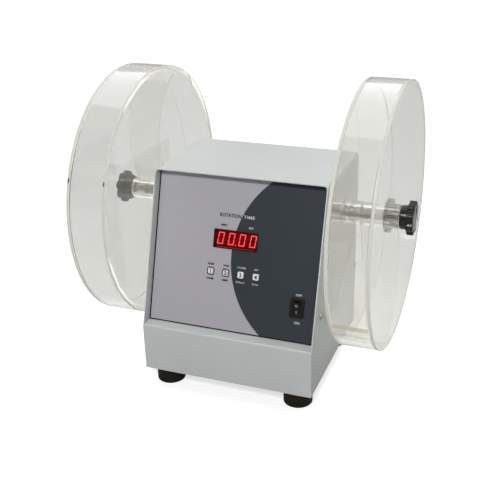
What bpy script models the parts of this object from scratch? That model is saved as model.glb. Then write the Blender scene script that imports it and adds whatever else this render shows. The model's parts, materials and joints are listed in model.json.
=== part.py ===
"""Tablet friability tester: a sheet-steel drive cabinet that turns two clear scoop drums.

Metres, +Z up, +X along the axle, the front panel faces -Y.
The origin is on the ground under the middle of the axle.
"""
from math import acos, atan2, cos, pi, radians, sin, sqrt, tan

import bmesh
import bpy
from mathutils import Matrix, Vector

# Fits and mesh values
GAP = 0.0003              # clearance between pieces that touch
MERGE = 0.00002           # vertices nearer than this are one vertex
OVERRUN = 0.004           # how far a cutter runs past the face that it cuts
SHARP_ANGLE = radians(35)
BEVEL_ANGLE = radians(40)
ARC_STEPS = 3             # segments in a small sheet bend or rounded corner
DRUM_STEPS = 60
ROUND_STEPS = 24
FOOT_STEPS = 20
BEARING_STEPS = 16
SMALL_STEPS = 12
PEG_STEPS = 6

# Cabinet
CABINET_WIDTH = 0.200
CABINET_DEPTH = 0.180
CABINET_HEIGHT = 0.225
BAND_HEIGHT = 0.057       # upright lower band of the front
TOP_SETBACK = 0.057       # the top's front edge lies this far behind the band
LEDGE_DEPTH = 0.0148      # flat ledge between the band and the sloping panel
SHEET = 0.0012
BEND_RADIUS = 0.0045
FOLD_RADIUS = 0.0018
CORNER_CUT = 0.0027       # bevel that keeps the fascia clear of the shell's bent corners
FLANGE = 0.015            # folded edges of the tray and rear panel
FASCIA_FLANGE = 0.022     # side flanges of the sloping panel
VENT_LENGTH = 0.046
VENT_ACROSS = 0.0345      # middle of each column of vents
VENT_HEIGHT = 0.0032
VENT_PITCH = 0.0095
VENT_COUNT = 7
VENT_RISE = 0.118         # lowest vent above the cabinet's bottom

# Feet and screws
FOOT_HEIGHT = 0.021
FOOT_RADIUS = 0.0164
FOOT_EDGE = 0.0015        # bevel round the foot's lower edge
FOOT_WEB = 0.005          # rubber between the screw's head and the tray
FOOT_INSET_SIDE = 0.0215
FOOT_INSET_END = 0.0215
SCREW_RADIUS = 0.002
SCREW_HEAD_RADIUS = 0.0038
SCREW_HEAD_HEIGHT = 0.0024
SCREW_SLOT = 0.0008
FOOT_SCREW_LENGTH = 0.014
CABINET_SCREW_LENGTH = 0.006
CABINET_SCREW_SETBACK = 0.034
CABINET_SCREW_RISE = 0.0845

# Front panel, measured across and up the slope from the panel's lower edge
OVERLAY_THICKNESS = 0.0005
OVERLAY_MARGIN = 0.0008
DISPLAY_ACROSS = -0.0013
DISPLAY_UP = 0.1028
DISPLAY_WIDTH = 0.0514
DISPLAY_TALL = 0.0203
DISPLAY_CORNER = 0.0012
DISPLAY_FRAME = 0.0019
DISPLAY_FRAME_HEIGHT = 0.0012
DISPLAY_THICKNESS = 0.0078
WINDOW_THICKNESS = 0.0010
KEY_COUNT = 4
KEY_UP = 0.0654
KEY_PITCH = 0.0179
KEY_ACROSS = -0.0009      # middle of the row of keys
KEY_WIDTH = 0.0071
KEY_TALL = 0.0076
KEY_CORNER = 0.0014
KEY_STAND = 0.0012        # the key's face above the overlay
KEY_FLANGE = 0.0012
KEY_FLANGE_RIM = 0.0012
KEY_TRAVEL = 0.0004
SWITCH_SIDE = 0.006
SWITCH_HEIGHT = 0.0036
PLUNGER_RADIUS = 0.0017
BOARD_THICKNESS = 0.0016
BOARD_MARGIN = 0.0045
PILLAR_RADIUS = 0.0026
ROCKER_INSET = 0.0242     # from the right side of the cabinet
ROCKER_UP = 0.0384
ROCKER_FRAME_WIDTH = 0.0152
ROCKER_FRAME_TALL = 0.0204
ROCKER_FRAME_HEIGHT = 0.0019
ROCKER_FRAME_RIM = 0.0019
ROCKER_BODY_DEPTH = 0.017
ROCKER_TILT = radians(9)
ROCKER_MID_HEIGHT = 0.0021
ROCKER_DROP = 0.0042      # pivot to the underside of the rocker

# Drums: pharmacopoeia sizes for the bore, depth, scoop and hub tube
DRUM_BORE_RADIUS = 0.1435
DRUM_WALL = 0.005
DRUM_DEPTH = 0.0395
DISC_THICKNESS = 0.003
DRUM_STANDOFF = 0.020     # cabinet wall to the back disc
SCOOP_INSIDE_RADIUS = 0.0805
SCOOP_THICKNESS = 0.003
SCOOP_TURN = radians(37.7)
SCOOP_STEPS = 18
SCOOP_ROOT = 0.0061       # how far the scoop runs past the hub tube's tangent
HUB_TUBE_RADIUS = 0.01225
HUB_STANDOFF = 0.0045     # cabinet wall to the hub tube
HUB_SCREW_RADIUS = 0.002
HUB_SCREW_SETBACK = 0.0055

# Axle and bearings
AXLE_SETBACK_SHARE = 0.6611   # of the cabinet's depth, behind the front band
AXLE_RISE = 0.175         # above the cabinet's bottom
AXLE_RADIUS = 0.006
AXLE_MIDDLE_RADIUS = 0.007
AXLE_END_SHARE = 0.6      # how far into the drum the axle's end reaches
BEARING_RADIUS = 0.014
BEARING_WIDTH = 0.008
BEARING_WALL = 0.004
HOUSING_FLANGE_RADIUS = 0.024
HOUSING_FLANGE = 0.004
HOUSING_NOSE_RADIUS = 0.0155
HOUSING_NOSE_STAND = 0.0018
HOUSING_LIP = 0.0015      # shoulder that stops the bearing
HOUSING_SHAFT_SPACE = 0.0008
BEARING_RACE = 0.0019
BEARING_GROOVE = 0.0008

# Clamp knobs
STUD_RADIUS = 0.0035
STUD_GRIP = 0.014         # stud inside the axle's end
STUD_IN_KNOB = 0.012
STUD_CHAMFER = 0.0009
KNOB_COLLAR_RADIUS = 0.0135
KNOB_COLLAR_LENGTH = 0.0080
KNOB_RADIUS = 0.0190
KNOB_VALLEY_RADIUS = 0.0164
KNOB_LENGTH = 0.0079
KNOB_LOBES = 8
KNOB_EDGE = 0.0016
KNOB_CAP_RADIUS = 0.0112
KNOB_CAP_THICKNESS = 0.0011
LOBE_STEPS = 5

# Drive
GEAR_MODULE = 0.0015
GEAR_TEETH = 42
PINION_TEETH = 14
PRESSURE_ANGLE = radians(20)
ADDENDUM_SHARE = 0.8      # stub teeth, in modules
DEDENDUM_SHARE = 1.15
FLANK_SHARES = (0.35, 1.0)
BACKLASH = 0.00035
GEAR_WIDTH = 0.008
GEAR_PLACE_SHARE = 0.3    # middle of the gear along X, of half the cabinet's width
GEAR_BOSS_RADIUS = 0.0135
GEAR_BOSS_LENGTH = 0.008
PINION_WIDTH = 0.010
MOTOR_SHAFT_RADIUS = 0.004
MOTOR_SHAFT_GRIP = 0.010  # shaft inside the gearbox
BRACKET_PLATE = 0.0025
BRACKET_WIDTH = 0.064
BRACKET_FOOT = 0.050
BRACKET_TOP_DROP = 0.012  # the bracket's top edge below the axle's middle
BRACKET_GEAR_SPACE = 0.006
GEARBOX_SIDE = 0.056
GEARBOX_LENGTH = 0.032
GEARBOX_EDGE = 0.003
MOTOR_RADIUS = 0.026
MOTOR_LENGTH = 0.048
MOTOR_END = 0.006         # end boss and the chamfer before it
MOTOR_BOSS_RADIUS = 0.0087
SENSOR_DISC_RADIUS = 0.020
SENSOR_DISC_THICKNESS = 0.0015
SENSOR_DISC_SETBACK = 0.0108   # from the right bearing
SENSOR_SLOTS = 12
SENSOR_SLOT_DEPTH = 0.004
SENSOR_BOSS_RADIUS = 0.011
SENSOR_BOSS_LENGTH = 0.006
SENSOR_FORK_SPACE = 0.0022
SENSOR_PRONG = 0.003
SENSOR_WIDTH = 0.010
SENSOR_ARM = 0.008
SENSOR_PRONG_ROOT = 0.002
SENSOR_REACH = 0.006      # how far the prongs overlap the disc's rim

# Power parts
INLET_WIDTH = 0.0275
INLET_TALL = 0.0205
INLET_DEPTH = 0.016
INLET_RIM = 0.0022
INLET_RIM_THICKNESS = 0.0025
INLET_WALL = 0.0018
INLET_CORNER = 0.0035
INLET_INSET = 0.040       # from the left side of the cabinet
INLET_RISE = 0.045
PIN_WIDTH = 0.004
PIN_THICKNESS = 0.002
PIN_LENGTH = 0.010
PIN_PITCH = 0.0135
PIN_RISE = 0.002
TRANSFORMER_WIDTH = 0.048
TRANSFORMER_DEPTH = 0.040
TRANSFORMER_HEIGHT = 0.042
TRANSFORMER_COIL = 0.011  # how far the coil stands out of the core
COIL_WIDTH = 0.029
COIL_HEIGHT = 0.026
COIL_EDGE = 0.0037
TRANSFORMER_FOOT_WIDTH = 0.062
TRANSFORMER_FOOT = 0.0015
TRANSFORMER_INSET = 0.052
TRANSFORMER_SETBACK = 0.054
POWER_BOARD_WIDTH_SHARE = 0.28      # of the cabinet's width
POWER_BOARD_LENGTH_SHARE = 0.51     # of the cabinet's depth
POWER_BOARD_SETBACK_SHARE = 0.556   # of the cabinet's depth
POWER_BOARD_SIDE_SPACE = 0.014
POWER_BOARD_STAND = 0.008
POWER_BOARD_INSET = 0.005
CAPACITOR_RADIUS = 0.008
CAPACITOR_PITCH = 0.0192
CAPACITOR_HEIGHT = 0.022
HEATSINK_HEIGHT = 0.026
HEATSINK_LENGTH = 0.034
HEATSINK_THICKNESS = 0.003

# Places that follow from the sizes above
BOTTOM = FOOT_HEIGHT
TOP = BOTTOM + CABINET_HEIGHT
FRONT = -CABINET_DEPTH * AXLE_SETBACK_SHARE
BACK = FRONT + CABINET_DEPTH
HALF_WIDTH = CABINET_WIDTH / 2
ROCKER_ACROSS = HALF_WIDTH - ROCKER_INSET
INLET_ACROSS = INLET_INSET - HALF_WIDTH
TRANSFORMER_ACROSS = TRANSFORMER_INSET - HALF_WIDTH
WALL_INSIDE = HALF_WIDTH - SHEET
INNER_HALF = WALL_INSIDE - GAP
BAND_TOP = BOTTOM + BAND_HEIGHT
AXLE_HEIGHT = BOTTOM + AXLE_RISE
TRAY_FLOOR = BOTTOM + SHEET
WALL_FRONT = FRONT + SHEET + GAP
LEAN = atan2(FRONT + TOP_SETBACK - WALL_FRONT, TOP - BAND_TOP)
LIP_TOP = TOP - SHEET - GAP
PANEL_LENGTH = (LIP_TOP - BAND_TOP) / cos(LEAN)
DRUM_START = HALF_WIDTH + DRUM_STANDOFF
RING_START = DRUM_START + DISC_THICKNESS + GAP
RING_WIDTH = DRUM_DEPTH - 2 * GAP
COVER_START = DRUM_START + DISC_THICKNESS + DRUM_DEPTH
DRUM_RADIUS = DRUM_BORE_RADIUS + DRUM_WALL
AXLE_END = DRUM_START + DISC_THICKNESS + DRUM_DEPTH * AXLE_END_SHARE
STUD_HOLE_RADIUS = STUD_RADIUS + GAP
BEARING_OUTER_FACE = WALL_INSIDE - HOUSING_LIP
BEARING_INNER_FACE = BEARING_OUTER_FACE - BEARING_WIDTH
SENSOR_DISC_PLACE = BEARING_INNER_FACE - SENSOR_DISC_SETBACK
KNOB_START = COVER_START + DISC_THICKNESS + GAP
KNOB_END = KNOB_START + KNOB_COLLAR_LENGTH + KNOB_LENGTH
GEAR_PITCH_RADIUS = GEAR_MODULE * GEAR_TEETH / 2
PINION_PITCH_RADIUS = GEAR_MODULE * PINION_TEETH / 2
MOTOR_HEIGHT = AXLE_HEIGHT - GEAR_PITCH_RADIUS - PINION_PITCH_RADIUS
GEAR_PLACE = HALF_WIDTH * GEAR_PLACE_SHARE
BRACKET_FACE = GEAR_PLACE - GEAR_WIDTH / 2 - BRACKET_GEAR_SPACE
DISPLAY_BACK = SHEET + GAP + DISPLAY_THICKNESS


def clear_scene():
    for item in list(bpy.data.objects):
        bpy.data.objects.remove(item, do_unlink=True)


def new_collection(name):
    group = bpy.data.collections.new(name)
    bpy.context.scene.collection.children.link(group)
    return group


clear_scene()
PARTS = new_collection("friability_tester")
CUTTERS = new_collection("cutters")


def finish(name, colour, roughness, metallic=0.0, alpha=1.0):
    material = bpy.data.materials.new(name)
    material.use_nodes = True
    shader = material.node_tree.nodes["Principled BSDF"]
    shader.inputs["Base Color"].default_value = (*colour, 1.0)
    shader.inputs["Roughness"].default_value = roughness
    shader.inputs["Metallic"].default_value = metallic
    shader.inputs["Alpha"].default_value = alpha
    return material


POWDER_GREY = finish("powder_coated_steel", (0.55, 0.56, 0.56), 0.55)
OVERLAY_GREY = finish("printed_overlay", (0.30, 0.29, 0.32), 0.45)
CLEAR_ACRYLIC = finish("clear_acrylic", (0.82, 0.86, 0.85), 0.08, alpha=0.3)
STEEL = finish("ground_steel", (0.60, 0.60, 0.60), 0.25, metallic=1.0)
ZINC = finish("zinc_plated_steel", (0.62, 0.62, 0.60), 0.35, metallic=1.0)
BLACK_PLASTIC = finish("black_moulded_plastic", (0.02, 0.02, 0.02), 0.45)
BLACK_RUBBER = finish("black_rubber", (0.02, 0.02, 0.02), 0.8)
WHITE_PLASTIC = finish("white_moulded_plastic", (0.82, 0.82, 0.80), 0.4)
RED_WINDOW = finish("red_window", (0.25, 0.005, 0.01), 0.15)
BOARD_GREEN = finish("circuit_board", (0.03, 0.16, 0.06), 0.5)
MOTOR_GREY = finish("cast_gearbox", (0.35, 0.35, 0.36), 0.5, metallic=1.0)
COPPER_COIL = finish("wound_coil", (0.45, 0.20, 0.08), 0.5)


def show(item, material=None, parent=None, group=None):
    """Put an object in its collection with its finish, and round faces shaded smooth."""
    (group or PARTS).objects.link(item)
    if material:
        item.data.materials.append(material)
    if parent:
        item.parent = parent
    if item.type == "MESH":
        item.data.shade_smooth()
        item.data.set_sharp_from_angle(angle=SHARP_ANGLE)
    return item


def frame_empty(name, location, rotation=(0, 0, 0), parent=None):
    empty = bpy.data.objects.new(name, None)
    PARTS.objects.link(empty)
    empty.location = location
    empty.rotation_euler = rotation
    empty.parent = parent
    return empty


def mesh_from(bm, name):
    mesh = bpy.data.meshes.new(name)
    bmesh.ops.recalc_face_normals(bm, faces=bm.faces)
    bm.to_mesh(mesh)
    bm.free()
    return mesh


def add_bevel(item, width, segments=2):
    bevel = item.modifiers.new("rounded_edges", "BEVEL")
    bevel.width = width
    bevel.segments = segments
    bevel.limit_method = "ANGLE"
    bevel.angle_limit = BEVEL_ANGLE


def add_solidify(item, thickness):
    shell = item.modifiers.new("sheet", "SOLIDIFY")
    shell.thickness = thickness
    shell.offset = -1
    shell.use_even_offset = True


def cut(item, *cutters):
    for cutter in cutters:
        boolean = item.modifiers.new("cut_" + cutter.name, "BOOLEAN")
        boolean.operation = "DIFFERENCE"
        boolean.object = cutter


def fuse(item, *others):
    for other in others:
        boolean = item.modifiers.new("join_" + other.name, "BOOLEAN")
        boolean.operation = "UNION"
        boolean.object = other


def as_cutter(item):
    """Move an object to the cutters, where it is hidden."""
    for group in list(item.users_collection):
        group.objects.unlink(item)
    CUTTERS.objects.link(item)
    item.hide_render = True
    item.display_type = "WIRE"
    return item


def block(name, size, centre, material=None, parent=None, edge=0, segments=2, rotation=(0, 0, 0)):
    bm = bmesh.new()
    bmesh.ops.create_cube(bm, size=1.0, matrix=Matrix.Diagonal((*size, 1.0)))
    item = bpy.data.objects.new(name, mesh_from(bm, name))
    item.location = centre
    item.rotation_euler = rotation
    show(item, material, parent)
    if edge:
        add_bevel(item, edge, segments)
    return item


def between(name, low, high, material=None, parent=None, edge=0):
    """A block given by its lowest and highest corners."""
    size = [b - a for a, b in zip(low, high)]
    centre = [(a + b) / 2 for a, b in zip(low, high)]
    return block(name, size, centre, material, parent, edge)


def rod(name, radius, length, centre, rotation=(0, 0, 0), material=None, parent=None, steps=SMALL_STEPS):
    """A cylinder about its own Z."""
    bm = bmesh.new()
    bmesh.ops.create_cone(bm, cap_ends=True, segments=steps, radius1=radius, radius2=radius, depth=length)
    item = bpy.data.objects.new(name, mesh_from(bm, name))
    item.location = centre
    item.rotation_euler = rotation
    return show(item, material, parent)


def turned(name, profile, material=None, parent=None, centre=(0, 0, 0), closed=True, steps=ROUND_STEPS):
    """Turn a profile of (radius, height) about Z. Its outer side runs from top to bottom."""
    mesh = bpy.data.meshes.new(name)
    count = len(profile)
    edges = [(i, (i + 1) % count) for i in range(count if closed else count - 1)]
    mesh.from_pydata([(radius, 0, height) for radius, height in profile], edges, [])
    item = bpy.data.objects.new(name, mesh)
    item.location = centre
    show(item, material, parent)
    screw = item.modifiers.new("turned", "SCREW")
    screw.axis = "Z"
    screw.angle = 2 * pi
    screw.steps = steps
    screw.render_steps = steps
    screw.use_merge_vertices = True
    screw.merge_threshold = MERGE
    screw.use_smooth_shade = True
    return item


def outlined(name, loops, thickness, material=None, parent=None, centre=(0, 0, 0), rotation=(0, 0, 0)):
    """A flat outline with its holes, thickened equally to both sides of its plane."""
    curve = bpy.data.curves.new(name, "CURVE")
    curve.dimensions = "2D"
    curve.fill_mode = "BOTH"
    curve.extrude = thickness / 2
    for loop in loops:
        spline = curve.splines.new("POLY")
        spline.points.add(len(loop) - 1)
        for point, (x, y) in zip(spline.points, loop):
            point.co = (x, y, 0, 1)
        spline.use_cyclic_u = True
    guide = bpy.data.objects.new(name + "_outline", curve)
    mesh = bpy.data.meshes.new_from_object(guide)
    bpy.data.objects.remove(guide, do_unlink=True)
    bm = bmesh.new()
    bm.from_mesh(mesh)
    bmesh.ops.remove_doubles(bm, verts=bm.verts, dist=MERGE)
    bpy.data.meshes.remove(mesh)
    item = bpy.data.objects.new(name, mesh_from(bm, name))
    item.location = centre
    item.rotation_euler = rotation
    return show(item, material, parent)


def rounded_rectangle(width, height, corner, centre=(0, 0), steps=ARC_STEPS):
    points = []
    for turn, (side, end) in enumerate(((1, 1), (-1, 1), (-1, -1), (1, -1))):
        middle_x = centre[0] + side * (width / 2 - corner)
        middle_y = centre[1] + end * (height / 2 - corner)
        for i in range(steps + 1):
            angle = (turn + i / steps) * pi / 2
            points.append((middle_x + corner * cos(angle), middle_y + corner * sin(angle)))
    return points


def folded_strip(corners, thickness, radius):
    """Outline of a sheet that is folded at the inner corners of its middle line."""
    headings = [atan2(b[1] - a[1], b[0] - a[0]) for a, b in zip(corners, corners[1:])]
    middle = [(corners[0], headings[0])]
    for corner, before, after in zip(corners[1:], headings, headings[1:]):
        turn = (after - before + pi) % (2 * pi) - pi
        side = 1 if turn > 0 else -1
        reach = radius * tan(abs(turn) / 2)
        start = (corner[0] - reach * cos(before), corner[1] - reach * sin(before))
        centre = (start[0] - side * radius * sin(before), start[1] + side * radius * cos(before))
        for i in range(ARC_STEPS + 1):
            heading = before + turn * i / ARC_STEPS
            point = (centre[0] + side * radius * sin(heading), centre[1] - side * radius * cos(heading))
            middle.append((point, heading))
    middle.append((corners[-1], headings[-1]))
    half = thickness / 2
    left = [(p[0] - half * sin(h), p[1] + half * cos(h)) for p, h in middle]
    right = [(p[0] + half * sin(h), p[1] - half * cos(h)) for p, h in middle]
    return left + right[::-1]


def open_box(name, low, high, open_sides, bend_sides, material, slope=None):
    """A folded sheet box: a block's skin without some sides, rounded where the bend sides meet the rest."""
    bm = bmesh.new()
    size = [b - a for a, b in zip(low, high)]
    middle = Vector([(a + b) / 2 for a, b in zip(low, high)])
    bmesh.ops.create_cube(bm, size=1.0, matrix=Matrix.Translation(middle) @ Matrix.Diagonal((*size, 1.0)))
    if slope:
        everything = list(bm.verts) + list(bm.edges) + list(bm.faces)
        bmesh.ops.bisect_plane(bm, geom=everything, plane_co=slope[0], plane_no=slope[1], clear_outer=True)
    bm.normal_update()
    gone = [f for f in bm.faces if any(f.normal.dot(Vector(side)) > cos(SHARP_ANGLE) for side in open_sides)]
    bmesh.ops.delete(bm, geom=gone, context="FACES")
    bends = [
        e for e in bm.edges
        if len(e.link_faces) == 2
        and any(f.normal.dot(Vector(side)) > cos(SHARP_ANGLE) for f in e.link_faces for side in bend_sides)
    ]
    bmesh.ops.bevel(bm, geom=bends, offset=BEND_RADIUS, segments=ARC_STEPS, profile=0.5, affect="EDGES")
    mesh = bpy.data.meshes.new(name)
    bm.to_mesh(mesh)
    bm.free()
    item = bpy.data.objects.new(name, mesh)
    show(item, material)
    add_solidify(item, SHEET)
    return item


def slope_place(height, inset=0):
    """How far back the sloping panel's face is at a height, or a surface behind it by the inset."""
    return FRONT + LEDGE_DEPTH + (height - BAND_TOP) * tan(LEAN) + inset / cos(LEAN)


ALONG_X = (0, pi / 2, 0)
PANEL = frame_empty("panel_frame", (0, FRONT + LEDGE_DEPTH, BAND_TOP), (pi / 2 - LEAN, 0, 0))
SIDES = {}
for side_name, side_sign in (("left", -1), ("right", 1)):
    SIDES[side_name] = frame_empty(side_name + "_axle_frame", (0, 0, AXLE_HEIGHT), (0, side_sign * pi / 2, 0))


def key_places():
    return [KEY_ACROSS + KEY_PITCH * (i - (KEY_COUNT - 1) / 2) for i in range(KEY_COUNT)]


def screw_places():
    """Both fixing places along Y on each side wall: at the fascia's flange and at the rear flange."""
    return [FRONT + CABINET_SCREW_SETBACK, BACK - FLANGE / 2]


def make_cabinet_shell():
    """Top and both side walls, folded from one sheet, with the axle and screw holes."""
    slope = ((0, WALL_FRONT, BAND_TOP), (0, -cos(LEAN), sin(LEAN)))
    low = (-HALF_WIDTH, WALL_FRONT, BOTTOM)
    high = (HALF_WIDTH, BACK, TOP)
    shell = open_box("cabinet_shell", low, high, ((0, 0, -1), (0, -1, 0), (0, 1, 0)), ((0, 0, 1),),
                     POWDER_GREY, slope)
    through = CABINET_WIDTH + 2 * OVERRUN
    axle_hole = rod("axle_hole", HOUSING_NOSE_RADIUS + GAP, through, (0, 0, AXLE_HEIGHT), ALONG_X,
                    steps=ROUND_STEPS)
    cut(shell, as_cutter(axle_hole))
    for number, place in enumerate(screw_places()):
        hole = rod("shell_screw_hole_%d" % number, SCREW_RADIUS + GAP, through,
                   (0, place, BOTTOM + CABINET_SCREW_RISE), ALONG_X, steps=SMALL_STEPS)
        cut(shell, as_cutter(hole))


def make_base_tray():
    """Folded tray that closes the bottom and carries the drive."""
    low = (-INNER_HALF, WALL_FRONT, BOTTOM)
    high = (INNER_HALF, BACK - SHEET - GAP, BOTTOM + FLANGE)
    tray = open_box("base_tray", low, high, ((0, 0, 1),), ((0, 0, -1),), ZINC)
    for number, (x, y) in enumerate(foot_places()):
        hole = rod("foot_hole_%d" % number, SCREW_RADIUS + GAP, SHEET + 2 * OVERRUN, (x, y, BOTTOM))
        cut(tray, as_cutter(hole))


def make_front_fascia():
    """Band, ledge and sloping panel from one folded sheet, with side flanges inside the shell's walls."""
    lip_height = LIP_TOP - SHEET / 2
    ledge_height = BAND_TOP - SHEET / 2
    corners = [
        (FRONT + SHEET / 2, BOTTOM),
        (FRONT + SHEET / 2, ledge_height),
        (slope_place(ledge_height, SHEET / 2), ledge_height),
        (slope_place(lip_height, SHEET / 2), lip_height),
        (slope_place(lip_height, SHEET / 2) + FLANGE, lip_height),
    ]
    strip = folded_strip(corners, SHEET, FOLD_RADIUS)
    fascia = outlined("front_fascia", [strip], CABINET_WIDTH, POWDER_GREY, rotation=(pi / 2, 0, pi / 2))
    length = PANEL_LENGTH - 2 * FLANGE
    depth = FASCIA_FLANGE - SHEET / 2
    flange_width = SHEET + GAP
    reach = HALF_WIDTH - INNER_HALF + OVERRUN
    side = 2 * BEND_RADIUS
    shift = (side / 2 - CORNER_CUT / sqrt(2)) / sqrt(2)
    for name, sign in (("left", -1), ("right", 1)):
        across = sign * (INNER_HALF + GAP - flange_width / 2)
        flange = block(name + "_fascia_flange", (flange_width, length, depth),
                       (across, PANEL_LENGTH / 2, -SHEET / 2 - depth / 2), parent=PANEL)
        fuse(fascia, as_cutter(flange))
        notch = block(name + "_fascia_notch", (reach, CABINET_DEPTH, CABINET_HEIGHT),
                      (sign * (INNER_HALF + reach / 2), FRONT + SHEET + CABINET_DEPTH / 2,
                       BOTTOM + CABINET_HEIGHT / 2))
        cut(fascia, as_cutter(notch))
        corner = block(name + "_fascia_corner", (side, CABINET_DEPTH, side),
                       (sign * (INNER_HALF + shift), FRONT + CABINET_DEPTH / 2, LIP_TOP + shift),
                       rotation=(0, pi / 4, 0))
        cut(fascia, as_cutter(corner))
    opening = block("display_opening", (DISPLAY_WIDTH, DISPLAY_TALL, OVERRUN * 2),
                    (DISPLAY_ACROSS, DISPLAY_UP, 0), parent=PANEL)
    cut(fascia, as_cutter(opening))
    for number, place in enumerate(key_places()):
        hole = block("key_opening_%d" % number, (KEY_WIDTH + 2 * GAP, KEY_TALL + 2 * GAP, OVERRUN * 2),
                     (place, KEY_UP, 0), parent=PANEL)
        cut(fascia, as_cutter(hole))
    width, tall = rocker_body_size()
    opening = block("rocker_opening", (width + 2 * GAP, tall + 2 * GAP, OVERRUN * 2),
                    (ROCKER_ACROSS, ROCKER_UP, 0), parent=PANEL)
    cut(fascia, as_cutter(opening))
    screw = rod("fascia_screw_hole", SCREW_RADIUS + GAP, CABINET_WIDTH,
                (0, screw_places()[0], BOTTOM + CABINET_SCREW_RISE), ALONG_X)
    cut(fascia, as_cutter(screw))


def make_panel_overlay():
    """Printed film on the sloping panel, open at the display, the keys and the rocker."""
    margin = OVERLAY_MARGIN
    width = 2 * (INNER_HALF - margin)
    length = PANEL_LENGTH - 2 * margin - FOLD_RADIUS - SHEET
    loops = [
        rounded_rectangle(width, length, margin, (0, PANEL_LENGTH / 2 - (SHEET + FOLD_RADIUS) / 2)),
        rounded_rectangle(DISPLAY_WIDTH, DISPLAY_TALL, DISPLAY_CORNER, (DISPLAY_ACROSS, DISPLAY_UP)),
    ]
    for place in key_places():
        hole = (KEY_WIDTH + 2 * GAP, KEY_TALL + 2 * GAP)
        loops.append(rounded_rectangle(*hole, KEY_CORNER, (place, KEY_UP), 2))
    width, tall = rocker_body_size()
    loops.append(rounded_rectangle(width + 2 * GAP, tall + 2 * GAP, GAP, (ROCKER_ACROSS, ROCKER_UP), 1))
    outlined("panel_overlay", loops, OVERLAY_THICKNESS, OVERLAY_GREY, PANEL,
             (0, 0, GAP + OVERLAY_THICKNESS / 2))


def make_rear_panel():
    """Rear sheet with its folded edges, vent slots and the inlet's cut-out."""
    low = (-INNER_HALF, BACK - FLANGE, BOTTOM)
    high = (INNER_HALF, BACK, LIP_TOP)
    panel = open_box("rear_panel", low, high, ((0, -1, 0), (0, 0, -1)), ((0, 1, 0), (0, 0, 1)), POWDER_GREY)
    tray_top = BOTTOM + FLANGE + GAP
    notch = between("tray_notch", (-HALF_WIDTH, BACK - FLANGE - OVERRUN, BOTTOM - OVERRUN),
                    (HALF_WIDTH, BACK - SHEET - GAP / 2, tray_top))
    cut(panel, as_cutter(notch))
    for row in range(VENT_COUNT):
        for name, sign in (("left", -1), ("right", 1)):
            vent = block("vent_%s_%d" % (name, row), (VENT_LENGTH, 2 * OVERRUN, VENT_HEIGHT),
                         (sign * VENT_ACROSS, BACK, BOTTOM + VENT_RISE + row * VENT_PITCH))
            cut(panel, as_cutter(vent))
    hole = block("inlet_cut_out", (INLET_WIDTH + 2 * GAP, 2 * OVERRUN, INLET_TALL + 2 * GAP),
                 (INLET_ACROSS, BACK, BOTTOM + INLET_RISE))
    cut(panel, as_cutter(hole))
    screw = rod("rear_screw_hole", SCREW_RADIUS + GAP, CABINET_WIDTH,
                (0, screw_places()[1], BOTTOM + CABINET_SCREW_RISE), ALONG_X)
    cut(panel, as_cutter(screw))


def make_display():
    """Frame, red window and the four-digit module behind it."""
    place = (DISPLAY_ACROSS, DISPLAY_UP)
    width = DISPLAY_WIDTH - 2 * GAP
    tall = DISPLAY_TALL - 2 * GAP
    inside_width = width - 2 * DISPLAY_FRAME
    inside_tall = tall - 2 * DISPLAY_FRAME
    front = OVERLAY_THICKNESS + GAP + DISPLAY_FRAME_HEIGHT
    depth = SHEET + front
    outer = rounded_rectangle(width, tall, DISPLAY_CORNER)
    inner = rounded_rectangle(inside_width, inside_tall, DISPLAY_CORNER / 2)
    outlined("display_bezel", [outer, inner], depth, BLACK_PLASTIC, PANEL, (*place, front - depth / 2))
    window = rounded_rectangle(inside_width - 2 * GAP, inside_tall - 2 * GAP, DISPLAY_CORNER / 2)
    outlined("display_window", [window], WINDOW_THICKNESS, RED_WINDOW, PANEL,
             (*place, -SHEET + WINDOW_THICKNESS / 2))
    block("display_module", (width, tall, DISPLAY_THICKNESS - GAP),
          (*place, -SHEET - GAP - (DISPLAY_THICKNESS - GAP) / 2), BLACK_PLASTIC, PANEL)


def make_keys():
    """Four caps, each held behind the panel by its flange."""
    for number, place in enumerate(key_places(), 1):
        face = GAP + OVERLAY_THICKNESS + KEY_STAND
        seat = -SHEET - GAP
        foot = seat - KEY_FLANGE
        centre = (place, KEY_UP)
        cap = rounded_rectangle(KEY_WIDTH, KEY_TALL, KEY_CORNER)
        key = outlined("key_%d" % number, [cap], face - foot, WHITE_PLASTIC, PANEL,
                       (*centre, (face + foot) / 2))
        rim = block("key_rim_%d" % number,
                    (KEY_WIDTH + 2 * KEY_FLANGE_RIM, KEY_TALL + 2 * KEY_FLANGE_RIM, KEY_FLANGE),
                    (*centre, seat - KEY_FLANGE / 2), parent=PANEL)
        fuse(key, as_cutter(rim))


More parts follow.
